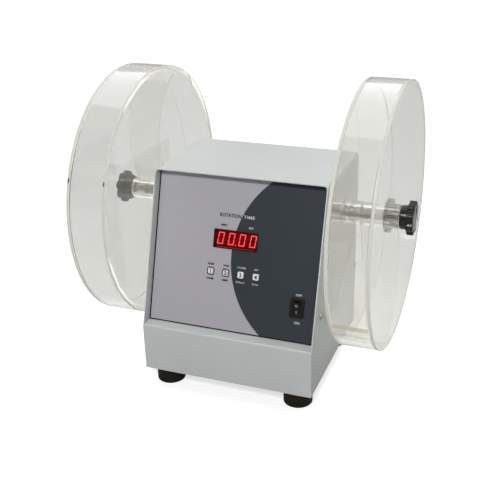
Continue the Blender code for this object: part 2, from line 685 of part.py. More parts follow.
def make_keypad_board():
    """Board with a tact switch behind each key, on pillars behind the panel."""
    top = -DISPLAY_BACK - GAP
    middle = top - BOARD_THICKNESS / 2
    side = SWITCH_SIDE / 2
    low_up = KEY_UP - KEY_TALL / 2 - BOARD_MARGIN
    high_up = DISPLAY_UP + DISPLAY_TALL / 2 + BOARD_MARGIN
    half = KEY_PITCH * KEY_COUNT / 2 + BOARD_MARGIN
    board = between("keypad_board", (KEY_ACROSS - half, low_up, top - BOARD_THICKNESS),
                    (KEY_ACROSS + half, high_up, top), BOARD_GREEN, PANEL)
    key_foot = -SHEET - GAP - KEY_FLANGE
    plunger_top = key_foot - KEY_TRAVEL - GAP
    for number, place in enumerate(key_places()):
        switch = between("switch_%d" % number, (place - side, KEY_UP - side, middle),
                         (place + side, KEY_UP + side, top + SWITCH_HEIGHT), parent=PANEL)
        fuse(board, as_cutter(switch))
        length = plunger_top - top - SWITCH_HEIGHT / 2
        plunger = rod("plunger_%d" % number, PLUNGER_RADIUS, length,
                      (place, KEY_UP, plunger_top - length / 2), parent=PANEL, steps=PEG_STEPS)
        fuse(board, as_cutter(plunger))
    pillar_top = -SHEET - GAP
    length = pillar_top - top + BOARD_THICKNESS / 2
    for number, (sign, height) in enumerate(((-1, low_up), (1, low_up), (-1, high_up), (1, high_up))):
        inward = PILLAR_RADIUS if height == low_up else -PILLAR_RADIUS
        across = KEY_ACROSS + sign * (half - PILLAR_RADIUS)
        pillar = rod("keypad_pillar_%d" % number, PILLAR_RADIUS, length,
                     (across, height + inward, pillar_top - length / 2), parent=PANEL, steps=PEG_STEPS)
        fuse(board, as_cutter(pillar))


def rocker_body_size():
    return ROCKER_FRAME_WIDTH - ROCKER_FRAME_RIM, ROCKER_FRAME_TALL - ROCKER_FRAME_RIM


def make_rocker_switch():
    """Snap-in frame with its well, and the rocker, which rests tipped to ON."""
    width, tall = rocker_body_size()
    base = GAP + OVERLAY_THICKNESS + GAP
    face = base + ROCKER_FRAME_HEIGHT
    rim = rounded_rectangle(ROCKER_FRAME_WIDTH, ROCKER_FRAME_TALL, ROCKER_FRAME_RIM)
    frame = outlined("rocker_frame", [rim], ROCKER_FRAME_HEIGHT, BLACK_PLASTIC, PANEL,
                     (ROCKER_ACROSS, ROCKER_UP, base + ROCKER_FRAME_HEIGHT / 2))
    body = between("rocker_body", (ROCKER_ACROSS - width / 2, ROCKER_UP - tall / 2, -ROCKER_BODY_DEPTH),
                   (ROCKER_ACROSS + width / 2, ROCKER_UP + tall / 2, base + ROCKER_FRAME_HEIGHT / 2),
                   parent=PANEL)
    fuse(frame, as_cutter(body))
    well_width = width - ROCKER_FRAME_RIM
    well_tall = tall - ROCKER_FRAME_RIM
    reach = well_tall / 2 - GAP * 2
    pivot = face - ROCKER_MID_HEIGHT
    well_depth = ROCKER_DROP + reach * tan(2 * ROCKER_TILT)
    well = between("rocker_well",
                   (ROCKER_ACROSS - well_width / 2, ROCKER_UP - well_tall / 2, pivot - well_depth),
                   (ROCKER_ACROSS + well_width / 2, ROCKER_UP + well_tall / 2, face + OVERRUN), parent=PANEL)
    cut(frame, as_cutter(well))
    tip = ROCKER_MID_HEIGHT + reach * tan(ROCKER_TILT)
    swing = sqrt(reach ** 2 - tip ** 2) if reach > tip else reach
    profile = [
        (-swing, tip), (0, ROCKER_MID_HEIGHT), (swing, tip),
        (swing, 0), (swing / 2, -ROCKER_DROP), (-swing / 2, -ROCKER_DROP), (-swing, 0),
    ]
    pivot_frame = frame_empty("rocker_pivot", (ROCKER_ACROSS, ROCKER_UP, pivot), (ROCKER_TILT, 0, 0), PANEL)
    rocker = outlined("rocker", [profile], well_width - 2 * GAP, BLACK_PLASTIC, pivot_frame,
                      rotation=(pi / 2, 0, pi / 2))
    return rocker


def foot_places():
    across = HALF_WIDTH - FOOT_INSET_SIDE
    ends = (FRONT + FOOT_INSET_END, BACK - FOOT_INSET_END)
    return [(side * across, end) for end in ends for side in (-1, 1)]


def make_feet():
    """Rubber feet with a counterbore for the screw that holds them to the tray."""
    top = FOOT_HEIGHT - GAP
    seat = top - FOOT_WEB
    profile = [
        (SCREW_RADIUS + GAP, top), (FOOT_RADIUS, top), (FOOT_RADIUS, FOOT_EDGE), (FOOT_RADIUS - FOOT_EDGE, 0),
        (SCREW_HEAD_RADIUS + GAP, 0), (SCREW_HEAD_RADIUS + GAP, seat), (SCREW_RADIUS + GAP, seat),
    ]
    names = ("front_left", "front_right", "rear_left", "rear_right")
    for name, (x, y) in zip(names, foot_places()):
        turned(name + "_foot", profile, BLACK_RUBBER, centre=(x, y, 0), steps=FOOT_STEPS)
        head = seat - GAP
        under = head - SCREW_HEAD_HEIGHT
        tip = under + FOOT_SCREW_LENGTH
        screw_profile = [(0, tip), (SCREW_RADIUS, tip), (SCREW_RADIUS, head), (SCREW_HEAD_RADIUS, head),
                         (SCREW_HEAD_RADIUS, under), (0, under)]
        turned(name + "_foot_screw", screw_profile, ZINC, centre=(x, y, 0), closed=False, steps=SMALL_STEPS)


def make_cabinet_screws():
    """Pan-head screws through the side walls into the flanges behind them."""
    profile = [
        (0, SCREW_HEAD_HEIGHT), (SCREW_HEAD_RADIUS / 2, SCREW_HEAD_HEIGHT),
        (SCREW_HEAD_RADIUS, SCREW_HEAD_HEIGHT / 2), (SCREW_HEAD_RADIUS, 0),
        (SCREW_RADIUS, 0), (SCREW_RADIUS, -CABINET_SCREW_LENGTH), (0, -CABINET_SCREW_LENGTH),
    ]
    for side, frame in SIDES.items():
        sign = -1 if side == "left" else 1
        for end, place in zip(("front", "rear"), screw_places()):
            drop = AXLE_HEIGHT - BOTTOM - CABINET_SCREW_RISE
            screw = turned("%s_%s_cabinet_screw" % (side, end), profile, ZINC, frame,
                           (sign * drop, place, HALF_WIDTH + GAP), closed=False, steps=SMALL_STEPS)
            drive = block("%s_%s_screw_drive" % (side, end),
                          (SCREW_HEAD_RADIUS, SCREW_SLOT, SCREW_HEAD_HEIGHT),
                          (sign * drop, place, HALF_WIDTH + GAP + SCREW_HEAD_HEIGHT), parent=frame)
            cut(screw, as_cutter(drive))


def make_axle():
    """Stepped shaft with a bored end for each clamp stud."""
    bore = AXLE_END - STUD_GRIP - GAP
    shoulder = BEARING_INNER_FACE - GAP
    half = [(0, bore), (STUD_HOLE_RADIUS, bore), (STUD_HOLE_RADIUS, AXLE_END), (AXLE_RADIUS, AXLE_END),
            (AXLE_RADIUS, shoulder), (AXLE_MIDDLE_RADIUS, shoulder)]
    profile = half + [(radius, -height) for radius, height in reversed(half)]
    turned("axle", profile, STEEL, SIDES["right"], closed=False, steps=ROUND_STEPS)


def make_bearings():
    """Flanged housing inside each wall, its nose through the wall, and the bearing in its pocket."""
    nose_end = HALF_WIDTH + HOUSING_NOSE_STAND
    flange_outer = WALL_INSIDE - GAP
    flange_inner = flange_outer - HOUSING_FLANGE
    shaft_hole = AXLE_MIDDLE_RADIUS + HOUSING_SHAFT_SPACE
    pocket = BEARING_RADIUS + GAP
    boss = BEARING_RADIUS + BEARING_WALL
    housing = [
        (shaft_hole, nose_end), (HOUSING_NOSE_RADIUS, nose_end), (HOUSING_NOSE_RADIUS, flange_outer),
        (HOUSING_FLANGE_RADIUS, flange_outer), (HOUSING_FLANGE_RADIUS, flange_inner), (boss, flange_inner),
        (boss, BEARING_INNER_FACE), (pocket, BEARING_INNER_FACE),
        (pocket, BEARING_OUTER_FACE + GAP), (shaft_hole, BEARING_OUTER_FACE + GAP),
    ]
    groove = BEARING_GROOVE
    inner = AXLE_RADIUS + GAP
    race = BEARING_RACE
    bearing = [
        (inner, BEARING_OUTER_FACE), (BEARING_RADIUS, BEARING_OUTER_FACE),
        (BEARING_RADIUS, BEARING_INNER_FACE), (BEARING_RADIUS - race, BEARING_INNER_FACE),
        (BEARING_RADIUS - race, BEARING_INNER_FACE + groove), (inner + race, BEARING_INNER_FACE + groove),
        (inner + race, BEARING_INNER_FACE), (inner, BEARING_INNER_FACE),
    ]
    for side, frame in SIDES.items():
        turned("bearing_housing_" + side, housing, ZINC, frame, steps=BEARING_STEPS)
        turned("bearing_" + side, bearing, STEEL, frame, steps=BEARING_STEPS)


def scoop_outline(turn_sign):
    """Curved plate: its inside has the scoop radius, its back meets the hub tube, its tip meets the ring."""
    inside = SCOOP_INSIDE_RADIUS
    outside = inside + SCOOP_THICKNESS
    reach = outside + GAP + HUB_TUBE_RADIUS
    centre = (reach * sin(SCOOP_TURN), reach * cos(SCOOP_TURN))
    tip = DRUM_BORE_RADIUS - GAP
    to_hub = atan2(-centre[1], -centre[0])

    def tip_angle(radius):
        cosine = (reach ** 2 + radius ** 2 - tip ** 2) / (2 * reach * radius)
        return to_hub + acos(cosine)

    past_hub = SCOOP_ROOT / outside
    points = []
    for radius, order in ((inside, 1), (outside, -1)):
        first = to_hub - past_hub
        last = tip_angle(radius)
        arc = [first + (last - first) * i / SCOOP_STEPS for i in range(SCOOP_STEPS + 1)]
        points += [
            (centre[0] + radius * cos(a), turn_sign * (centre[1] + radius * sin(a))) for a in arc[::order]
        ]
    return points


def make_drum(side):
    """Back disc, ring, scoop, hub tube and its grub screw turn with the axle. The cover disc comes off."""
    frame = SIDES[side]
    sign = -1 if side == "left" else 1
    tube_hole = HUB_TUBE_RADIUS + GAP
    back = [(tube_hole, DRUM_START + DISC_THICKNESS), (DRUM_RADIUS, DRUM_START + DISC_THICKNESS),
            (DRUM_RADIUS, DRUM_START), (tube_hole, DRUM_START)]
    turned(side + "_back_disc", back, CLEAR_ACRYLIC, frame, steps=DRUM_STEPS)
    ring = [(DRUM_BORE_RADIUS, RING_START + RING_WIDTH), (DRUM_RADIUS, RING_START + RING_WIDTH),
            (DRUM_RADIUS, RING_START), (DRUM_BORE_RADIUS, RING_START)]
    turned(side + "_drum_ring", ring, CLEAR_ACRYLIC, frame, steps=DRUM_STEPS)
    cover_end = COVER_START + DISC_THICKNESS
    cover = [(STUD_HOLE_RADIUS, cover_end), (DRUM_RADIUS, cover_end),
             (DRUM_RADIUS, COVER_START), (STUD_HOLE_RADIUS, COVER_START)]
    turned(side + "_cover_disc", cover, CLEAR_ACRYLIC, frame, steps=DRUM_STEPS)
    outlined(side + "_scoop", [scoop_outline(-sign)], RING_WIDTH, CLEAR_ACRYLIC, frame,
             (0, 0, RING_START + RING_WIDTH / 2))
    tube_start = HALF_WIDTH + HUB_STANDOFF
    tube = [(AXLE_RADIUS + GAP, COVER_START - GAP), (HUB_TUBE_RADIUS, COVER_START - GAP),
            (HUB_TUBE_RADIUS, tube_start), (AXLE_RADIUS + GAP, tube_start)]
    hub = turned(side + "_hub_tube", tube, CLEAR_ACRYLIC, frame)
    screw_place = tube_start + HUB_SCREW_SETBACK
    start = AXLE_RADIUS + GAP
    length = HUB_TUBE_RADIUS - start
    lie = frame_empty(side + "_hub_screw_frame", (0, 0, screw_place), (pi / 2, 0, -sign * pi / 4), frame)
    hole = rod(side + "_hub_screw_hole", HUB_SCREW_RADIUS + GAP, length + 2 * OVERRUN,
               (0, 0, start + length / 2 + GAP), parent=lie)
    cut(hub, as_cutter(hole))
    screw = rod(side + "_hub_screw", HUB_SCREW_RADIUS, length, (0, 0, start + length / 2), material=STEEL,
                parent=lie)
    socket = rod(side + "_hub_screw_socket", HUB_SCREW_RADIUS / 2, length / 2, (0, 0, start + length),
                 parent=lie, steps=PEG_STEPS)
    cut(screw, as_cutter(socket))


def lobed_outline():
    """Rounded lobes between narrow valleys."""
    points = []
    count = KNOB_LOBES * LOBE_STEPS
    for i in range(count):
        swell = sqrt(abs(sin(pi * i / LOBE_STEPS)))
        radius = KNOB_VALLEY_RADIUS + (KNOB_RADIUS - KNOB_VALLEY_RADIUS) * swell
        points.append((radius * cos(2 * pi * i / count), radius * sin(2 * pi * i / count)))
    return points


def make_knob(side):
    """Lobed clamp knob on its collar, with its cap and the stud that reaches into the axle."""
    frame = SIDES[side]
    collar_end = KNOB_START + KNOB_COLLAR_LENGTH
    knob = outlined(side + "_knob", [lobed_outline()], KNOB_LENGTH, BLACK_PLASTIC, frame,
                    (0, 0, collar_end + KNOB_LENGTH / 2))
    add_bevel(knob, KNOB_EDGE, segments=1)
    overlap = KNOB_LENGTH / 2
    collar = rod(side + "_knob_collar", KNOB_COLLAR_RADIUS, KNOB_COLLAR_LENGTH + overlap,
                 (0, 0, KNOB_START + (KNOB_COLLAR_LENGTH + overlap) / 2), parent=frame, steps=ROUND_STEPS)
    fuse(knob, as_cutter(collar))
    recess = KNOB_CAP_THICKNESS + GAP
    cap_hole = rod(side + "_cap_recess", KNOB_CAP_RADIUS + GAP, recess + OVERRUN,
                   (0, 0, KNOB_END - recess + (recess + OVERRUN) / 2), parent=frame, steps=ROUND_STEPS)
    cut(knob, as_cutter(cap_hole))
    depth = STUD_IN_KNOB + GAP + OVERRUN
    stud_hole = rod(side + "_stud_hole", STUD_HOLE_RADIUS, depth,
                    (0, 0, KNOB_START - OVERRUN + depth / 2), parent=frame)
    cut(knob, as_cutter(stud_hole))
    cap = [(0, KNOB_END), (KNOB_CAP_RADIUS - KNOB_CAP_THICKNESS / 2, KNOB_END),
           (KNOB_CAP_RADIUS, KNOB_END - KNOB_CAP_THICKNESS / 2),
           (KNOB_CAP_RADIUS, KNOB_END - KNOB_CAP_THICKNESS), (0, KNOB_END - KNOB_CAP_THICKNESS)]
    turned(side + "_knob_cap", cap, BLACK_PLASTIC, frame, closed=False)
    stud_end = KNOB_START + STUD_IN_KNOB
    stud_start = AXLE_END - STUD_GRIP
    stud = [(0, stud_end), (STUD_RADIUS, stud_end), (STUD_RADIUS, stud_start + STUD_CHAMFER),
            (STUD_RADIUS - STUD_CHAMFER, stud_start), (0, stud_start)]
    turned(side + "_clamp_stud", stud, ZINC, frame, closed=False, steps=SMALL_STEPS)


def gear_outline(teeth, gap_up):
    """Spur gear outline with involute flanks. A gap, or else a tooth, points along +Y."""
    pitch = GEAR_MODULE * teeth / 2
    base = pitch * cos(PRESSURE_ANGLE)
    tip = pitch + GEAR_MODULE * ADDENDUM_SHARE
    root = pitch - GEAR_MODULE * DEDENDUM_SHARE

    def spread(radius):
        angle = acos(min(1.0, base / radius))
        return tan(angle) - angle

    half_tooth = pi / (2 * teeth) - BACKLASH / (2 * pitch) + spread(pitch)
    flank = [(root, half_tooth - spread(max(root, base)))]
    low = max(root, base)
    for share in FLANK_SHARES:
        radius = low + (tip - low) * share
        flank.append((radius, half_tooth - spread(radius)))
    first = pi / 2 + (pi / teeth if gap_up else 0)
    points = []
    for tooth in range(teeth):
        middle = first + 2 * pi * tooth / teeth
        points += [(radius * cos(middle - half), radius * sin(middle - half)) for radius, half in flank]
        points += [(radius * cos(middle + half), radius * sin(middle + half)) for radius, half in flank[::-1]]
    return points


def make_drive():
    """Gear on the axle and the motor's pinion under it."""
    across = (pi / 2, 0, pi / 2)
    bore = AXLE_MIDDLE_RADIUS + GAP
    gear_frame = frame_empty("gear_frame", (GEAR_PLACE, 0, AXLE_HEIGHT), across)
    gear_points = [(x, -y) for x, y in gear_outline(GEAR_TEETH, True)]
    gear = outlined("drive_gear", [gear_points], GEAR_WIDTH, ZINC, gear_frame)
    boss = rod("gear_boss", GEAR_BOSS_RADIUS, GEAR_BOSS_LENGTH + GEAR_WIDTH / 2,
               (0, 0, (GEAR_BOSS_LENGTH + GEAR_WIDTH / 2) / 2), parent=gear_frame, steps=ROUND_STEPS)
    fuse(gear, as_cutter(boss))
    bore_cut = rod("gear_bore", bore, GEAR_WIDTH + 2 * (GEAR_BOSS_LENGTH + OVERRUN), (0, 0, 0),
                   parent=gear_frame, steps=SMALL_STEPS)
    cut(gear, as_cutter(bore_cut))
    motor_frame = frame_empty("motor_shaft_frame", (GEAR_PLACE, 0, MOTOR_HEIGHT), across)
    pinion = outlined("motor_pinion", [gear_outline(PINION_TEETH, False)], PINION_WIDTH, STEEL, motor_frame)
    shaft_start = BRACKET_FACE - BRACKET_PLATE - GAP - MOTOR_SHAFT_GRIP - GEAR_PLACE
    shaft_end = PINION_WIDTH
    shaft = rod("motor_shaft", MOTOR_SHAFT_RADIUS, shaft_end - shaft_start,
                (0, 0, (shaft_end + shaft_start) / 2), parent=motor_frame)
    fuse(pinion, as_cutter(shaft))


def make_motor():
    """Gearbox on the bracket's plate, motor behind it, bracket on the tray."""
    plate_back = BRACKET_FACE - BRACKET_PLATE
    foot_height = TRAY_FLOOR + GAP + BRACKET_PLATE / 2
    corners = [(BRACKET_FACE - BRACKET_PLATE / 2 - BRACKET_FOOT, foot_height),
               (BRACKET_FACE - BRACKET_PLATE / 2, foot_height),
               (BRACKET_FACE - BRACKET_PLATE / 2, AXLE_HEIGHT - BRACKET_TOP_DROP)]
    outline = folded_strip(corners, BRACKET_PLATE, BRACKET_PLATE)
    bracket = outlined("motor_bracket", [outline], BRACKET_WIDTH, ZINC, rotation=(pi / 2, 0, 0))
    hole = rod("bracket_shaft_hole", MOTOR_SHAFT_RADIUS + BRACKET_PLATE, 2 * OVERRUN,
               (BRACKET_FACE - BRACKET_PLATE / 2, 0, MOTOR_HEIGHT), ALONG_X, steps=ROUND_STEPS)
    cut(bracket, as_cutter(hole))
    box_end = plate_back - GAP
    gearbox = block("gearbox", (GEARBOX_LENGTH, GEARBOX_SIDE, GEARBOX_SIDE),
                    (box_end - GEARBOX_LENGTH / 2, 0, MOTOR_HEIGHT), MOTOR_GREY, edge=GEARBOX_EDGE)
    depth = MOTOR_SHAFT_GRIP + GAP + OVERRUN
    shaft_hole = rod("gearbox_shaft_hole", MOTOR_SHAFT_RADIUS + GAP, depth,
                     (box_end + OVERRUN - depth / 2, 0, MOTOR_HEIGHT), ALONG_X)
    cut(gearbox, as_cutter(shaft_hole))
    motor_end = box_end - GEARBOX_LENGTH - GAP
    tail = motor_end - MOTOR_LENGTH
    half_end = MOTOR_END / 2
    profile = [
        (0, motor_end), (MOTOR_RADIUS, motor_end), (MOTOR_RADIUS, tail + MOTOR_END),
        (MOTOR_RADIUS - half_end, tail + half_end), (MOTOR_BOSS_RADIUS, tail + half_end),
        (MOTOR_BOSS_RADIUS, tail), (0, tail),
    ]
    drop = MOTOR_HEIGHT - AXLE_HEIGHT
    turned("motor", profile, MOTOR_GREY, SIDES["right"], (-drop, 0, 0), closed=False)


def make_turn_sensor():
    """Slotted disc on the axle, and the fork on the right wall that its rim runs through."""
    frame = SIDES["right"]
    bore = AXLE_MIDDLE_RADIUS + GAP
    rim = []
    steps = SENSOR_SLOTS * 4
    for i in range(steps):
        radius = SENSOR_DISC_RADIUS if i % 4 < 2 else SENSOR_DISC_RADIUS - SENSOR_SLOT_DEPTH
        angle = 2 * pi * (i + 0.5) / steps
        rim.append((radius * cos(angle), radius * sin(angle)))
    disc = outlined("sensor_disc", [rim], SENSOR_DISC_THICKNESS, BLACK_PLASTIC, frame,
                    (0, 0, SENSOR_DISC_PLACE))
    boss = rod("sensor_boss", SENSOR_BOSS_RADIUS, SENSOR_BOSS_LENGTH,
               (0, 0, SENSOR_DISC_PLACE - SENSOR_BOSS_LENGTH / 2), parent=frame, steps=SMALL_STEPS)
    fuse(disc, as_cutter(boss))
    bore_cut = rod("sensor_bore", bore, 2 * SENSOR_BOSS_LENGTH + OVERRUN,
                   (0, 0, SENSOR_DISC_PLACE - SENSOR_BOSS_LENGTH / 2), parent=frame, steps=SMALL_STEPS)
    cut(disc, as_cutter(bore_cut))
    prong_top = AXLE_HEIGHT - SENSOR_DISC_RADIUS + SENSOR_REACH
    arm_top = AXLE_HEIGHT - SENSOR_DISC_RADIUS - SENSOR_FORK_SPACE
    arm_low = arm_top - SENSOR_ARM
    half = SENSOR_WIDTH / 2
    inside = SENSOR_DISC_THICKNESS / 2 + SENSOR_FORK_SPACE
    outside = inside + SENSOR_PRONG
    plate_top = min(arm_top, AXLE_HEIGHT - HOUSING_FLANGE_RADIUS - GAP * 2)
    fork = between("rotation_sensor", (SENSOR_DISC_PLACE - outside, -half, arm_low),
                   (WALL_INSIDE - GAP, half, plate_top), BLACK_PLASTIC)
    for name, low, high in (("inner", -outside, -inside), ("outer", inside, outside)):
        prong = between(name + "_prong", (SENSOR_DISC_PLACE + low, -half, arm_low + SENSOR_PRONG_ROOT),
                        (SENSOR_DISC_PLACE + high, half, prong_top))
        fuse(fork, as_cutter(prong))


def make_power_inlet():
    """Snap-in mains inlet in the rear panel, with its socket and three blades."""
    place = (INLET_ACROSS, BOTTOM + INLET_RISE)
    rim = rounded_rectangle(INLET_WIDTH + 2 * INLET_RIM, INLET_TALL + 2 * INLET_RIM, INLET_RIM)
    face = BACK + GAP + INLET_RIM_THICKNESS
    inlet = outlined("power_inlet", [rim], INLET_RIM_THICKNESS, BLACK_PLASTIC,
                     centre=(place[0], face - INLET_RIM_THICKNESS / 2, place[1]), rotation=(pi / 2, 0, 0))
    body = between("inlet_body", (place[0] - INLET_WIDTH / 2, BACK - INLET_DEPTH, place[1] - INLET_TALL / 2),
                   (place[0] + INLET_WIDTH / 2, face - INLET_RIM_THICKNESS / 2, place[1] + INLET_TALL / 2))
    fuse(inlet, as_cutter(body))
    half_width = INLET_WIDTH / 2 - INLET_WALL
    half_tall = INLET_TALL / 2 - INLET_WALL
    corner = INLET_CORNER
    socket_points = [(-half_width, -half_tall), (half_width, -half_tall), (half_width, half_tall - corner),
                     (half_width - corner, half_tall), (corner - half_width, half_tall),
                     (-half_width, half_tall - corner)]
    depth = INLET_DEPTH - INLET_WALL + face - BACK
    socket = outlined("inlet_socket", [socket_points], depth + OVERRUN,
                      centre=(place[0], face + OVERRUN - (depth + OVERRUN) / 2, place[1]),
                      rotation=(pi / 2, 0, 0))
    cut(inlet, as_cutter(socket))
    floor = face - depth
    half_pitch = PIN_PITCH / 2
    blades = (("line", -half_pitch, -PIN_RISE), ("neutral", half_pitch, -PIN_RISE), ("earth", 0, PIN_RISE))
    for name, x, z in blades:
        blade = block("inlet_%s_blade" % name, (PIN_THICKNESS, PIN_LENGTH + INLET_WALL, PIN_WIDTH),
                      (place[0] + x, floor + PIN_LENGTH / 2 - INLET_WALL / 2, place[1] + z))
        fuse(inlet, as_cutter(blade))


def make_transformer():
    """Laminated core with its coil and feet."""
    centre_y = FRONT + TRANSFORMER_SETBACK
    foot = TRAY_FLOOR + GAP
    middle = foot + TRANSFORMER_HEIGHT / 2
    core = block("transformer", (TRANSFORMER_WIDTH, TRANSFORMER_DEPTH / 2, TRANSFORMER_HEIGHT),
                 (TRANSFORMER_ACROSS, centre_y, middle), COPPER_COIL)
    coil = block("transformer_coil",
                 (COIL_WIDTH, TRANSFORMER_DEPTH / 2 + 2 * TRANSFORMER_COIL, COIL_HEIGHT),
                 (TRANSFORMER_ACROSS, centre_y, middle), edge=COIL_EDGE)
    feet = block("transformer_feet",
                 (TRANSFORMER_FOOT_WIDTH, TRANSFORMER_DEPTH / 2, TRANSFORMER_FOOT),
                 (TRANSFORMER_ACROSS, centre_y, foot + TRANSFORMER_FOOT / 2))
    fuse(core, as_cutter(coil), as_cutter(feet))


def make_power_board():
    """Power board on four pillars, with capacitors and a heat sink."""
    high_x = HALF_WIDTH - POWER_BOARD_SIDE_SPACE
    low_x = high_x - CABINET_WIDTH * POWER_BOARD_WIDTH_SHARE
    middle_y = FRONT + CABINET_DEPTH * POWER_BOARD_SETBACK_SHARE
    half_length = CABINET_DEPTH * POWER_BOARD_LENGTH_SHARE / 2
    low_y = middle_y - half_length
    high_y = middle_y + half_length
    under = TRAY_FLOOR + POWER_BOARD_STAND
    top = under + BOARD_THICKNESS
    board = between("power_board", (low_x, low_y, under), (high_x, high_y, top), BOARD_GREEN)
    inset = POWER_BOARD_INSET
    foot = TRAY_FLOOR + GAP
    length = under + BOARD_THICKNESS / 2 - foot
    for number, (x, y) in enumerate(((low_x + inset, low_y + inset), (high_x - inset, low_y + inset),
                                     (low_x + inset, high_y - inset), (high_x - inset, high_y - inset))):
        pillar = rod("board_pillar_%d" % number, PILLAR_RADIUS, length, (x, y, foot + length / 2),
                     steps=PEG_STEPS)
        fuse(board, as_cutter(pillar))
    for number in range(3):
        can = rod("capacitor_%d" % number, CAPACITOR_RADIUS, CAPACITOR_HEIGHT + BOARD_THICKNESS / 2,
                  (low_x + inset + CAPACITOR_RADIUS,
                   middle_y + (number - 1) * CAPACITOR_PITCH,
                   top + (CAPACITOR_HEIGHT - BOARD_THICKNESS / 2) / 2))
        fuse(board, as_cutter(can))
    sink = between("heat_sink", (high_x - inset - HEATSINK_THICKNESS, middle_y - HEATSINK_LENGTH / 2,
                                 top - BOARD_THICKNESS / 2),
                   (high_x - inset, middle_y + HEATSINK_LENGTH / 2, top + HEATSINK_HEIGHT))
    fuse(board, as_cutter(sink))


make_cabinet_shell()
make_base_tray()
make_front_fascia()
make_panel_overlay()
make_rear_panel()
make_display()
make_keys()
make_keypad_board()
make_rocker_switch()
make_feet()
make_cabinet_screws()
make_axle()
make_bearings()
for side_name in SIDES:
    make_drum(side_name)
    make_knob(side_name)
make_drive()
make_motor()
make_turn_sensor()
make_power_inlet()
make_transformer()
make_power_board()
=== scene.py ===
"""Looks of a bench tablet friability tester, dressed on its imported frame.

Metres, +Z up, +X along the axle to the right drum, the front panel faces -Y.
"""
import json
from math import acos, atan2, cos, pi, radians, sin, sqrt, tan

import bmesh
import bpy
from mathutils import Matrix, Vector


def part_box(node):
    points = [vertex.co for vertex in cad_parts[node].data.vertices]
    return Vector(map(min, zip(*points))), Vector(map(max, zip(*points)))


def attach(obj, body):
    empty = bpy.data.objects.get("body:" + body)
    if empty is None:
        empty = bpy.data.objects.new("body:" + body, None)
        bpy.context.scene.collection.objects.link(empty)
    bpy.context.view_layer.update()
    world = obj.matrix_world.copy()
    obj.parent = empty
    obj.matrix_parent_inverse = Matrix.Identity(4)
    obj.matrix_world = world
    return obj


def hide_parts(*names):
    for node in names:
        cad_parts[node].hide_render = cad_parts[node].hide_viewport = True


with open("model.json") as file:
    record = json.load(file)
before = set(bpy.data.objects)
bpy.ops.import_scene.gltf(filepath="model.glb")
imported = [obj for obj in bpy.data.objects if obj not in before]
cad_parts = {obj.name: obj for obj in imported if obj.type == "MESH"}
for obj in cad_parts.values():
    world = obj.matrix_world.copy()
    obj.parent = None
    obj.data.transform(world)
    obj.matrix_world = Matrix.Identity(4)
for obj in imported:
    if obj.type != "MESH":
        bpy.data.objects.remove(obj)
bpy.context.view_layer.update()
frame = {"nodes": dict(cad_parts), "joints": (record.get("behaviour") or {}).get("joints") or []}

# Camera, solved on the photograph's drum rims and cabinet corners
CAMERA_PLACE = (0.3162, -0.8520, 0.5415)
CAMERA_TURN = 0.36857         # to the left of straight ahead, radians
CAMERA_DIP = 0.42194
CAMERA_ROLL = -0.02421
CAMERA_LENS = 60.05           # millimetres, on a picture of the width below
PICTURE_WIDTH = 36

SEAT = 0.0003                 # clearance that the frame leaves between pieces
OVERRUN = 0.002               # how far a cutter runs past the face that it opens
INK = 0.00006                 # height of printed marks, and the gap round a piece let into another
ON_FACE = 0.00006             # a point this near to a face counts as lying on it
WELD = 1e-6                   # points this near to each other become one
LEVEL = 1e-9                  # an edge whose ends differ less than this in height is level
SOFT_BEND = radians(12)       # a corner that turns less than this belongs to a curve and isn't rounded
SIDE_SHARE = 0.49             # how much of a side one rounded corner may take
ARC_PROFILE = 0.5             # Blender's number for a bevel that follows an arc

# Drums, beyond what the frame's boxes tell
DRUM_BORE = 0.1435
DISC_EDGE = 0.0004            # polished arris on every acrylic edge
JOINT_OVERLAP = 0.0008        # how far the scoop runs into what it is cemented to
SCOOP_INSIDE = 0.0805
SCOOP_PLATE = 0.003
SCOOP_TURN = radians(37.7)    # of the scoop's centre about the axle, from level
SCOOP_ROOT = 0.0061           # how far the scoop runs on past the tube, along its arc
SCOOP_STEPS = 48
SCOOP_FACES = (1.02, 0.998)   # shares of the tube's radius and of the bore that the scoop's faces lie between
EDGE_GLOW = 0.08              # light that the sheet gathers and lets out at its sawn edge
SHEET_HAZE = 0.005            # light that fine scratches and dust scatter at each polished face
SHEET_GLOW = 0.225            # light that runs inside the sheet, at each further turn
HAZE_TURNS = 1.5              # mirrorings of a ray up to which a sheet shows its haze
GLOW_TURNS = 2.5              # and from which it shows its full glow
RING_SEAM = {"right": radians(302.8)}   # butt joint of the rolled ring, in drum coordinates
RING_SEAM_WIDTH = 0.008
RING_SEAM_STEPS = 8
DISC_MARK = {"left": radians(291.6)}    # where the dark ends of the ring's joint show at both rims
DISC_MARK_SIZE = (0.0014, 0.0048)
TUBE_RADIUS = 0.01225
TUBE_BORE = 0.0063
GRUB_HOLE = 0.00225
DRUM_STEPS = 192
POLISH_TURN = radians(12)     # sharper turns than this stay crisp on the acrylic

# Clamp knobs
KNOB_LOBES = 8
KNOB_RADIUS = 0.0190
KNOB_VALLEY = 0.0160
KNOB_LOBE_STEPS = 18
KNOB_LOBE_POWER = 4           # the higher, the narrower the finger hollows
KNOB_STEPS = 96
KNOB_HEAD = 0.0079            # length of the lobed head
KNOB_COLLAR_SHARE = 0.25      # of the head's length that the collar runs on inside it
KNOB_EDGE = 0.0013
KNOB_COLLAR = 0.0135
KNOB_COLLAR_EDGE = 0.0014
KNOB_BORE = 0.0042
KNOB_CAP = 0.0117
KNOB_RING = 0.0008            # ring round the cap, painted pale as its highlight
KNOB_RING_HEIGHT = 0.0006
KNOB_RECESS = 0.0013
KNOB_CAP_HEIGHT = 0.0003

# Feet
FOOT_WELL = 0.0041
FOOT_EDGE = 0.0013
FOOT_STEPS = 72

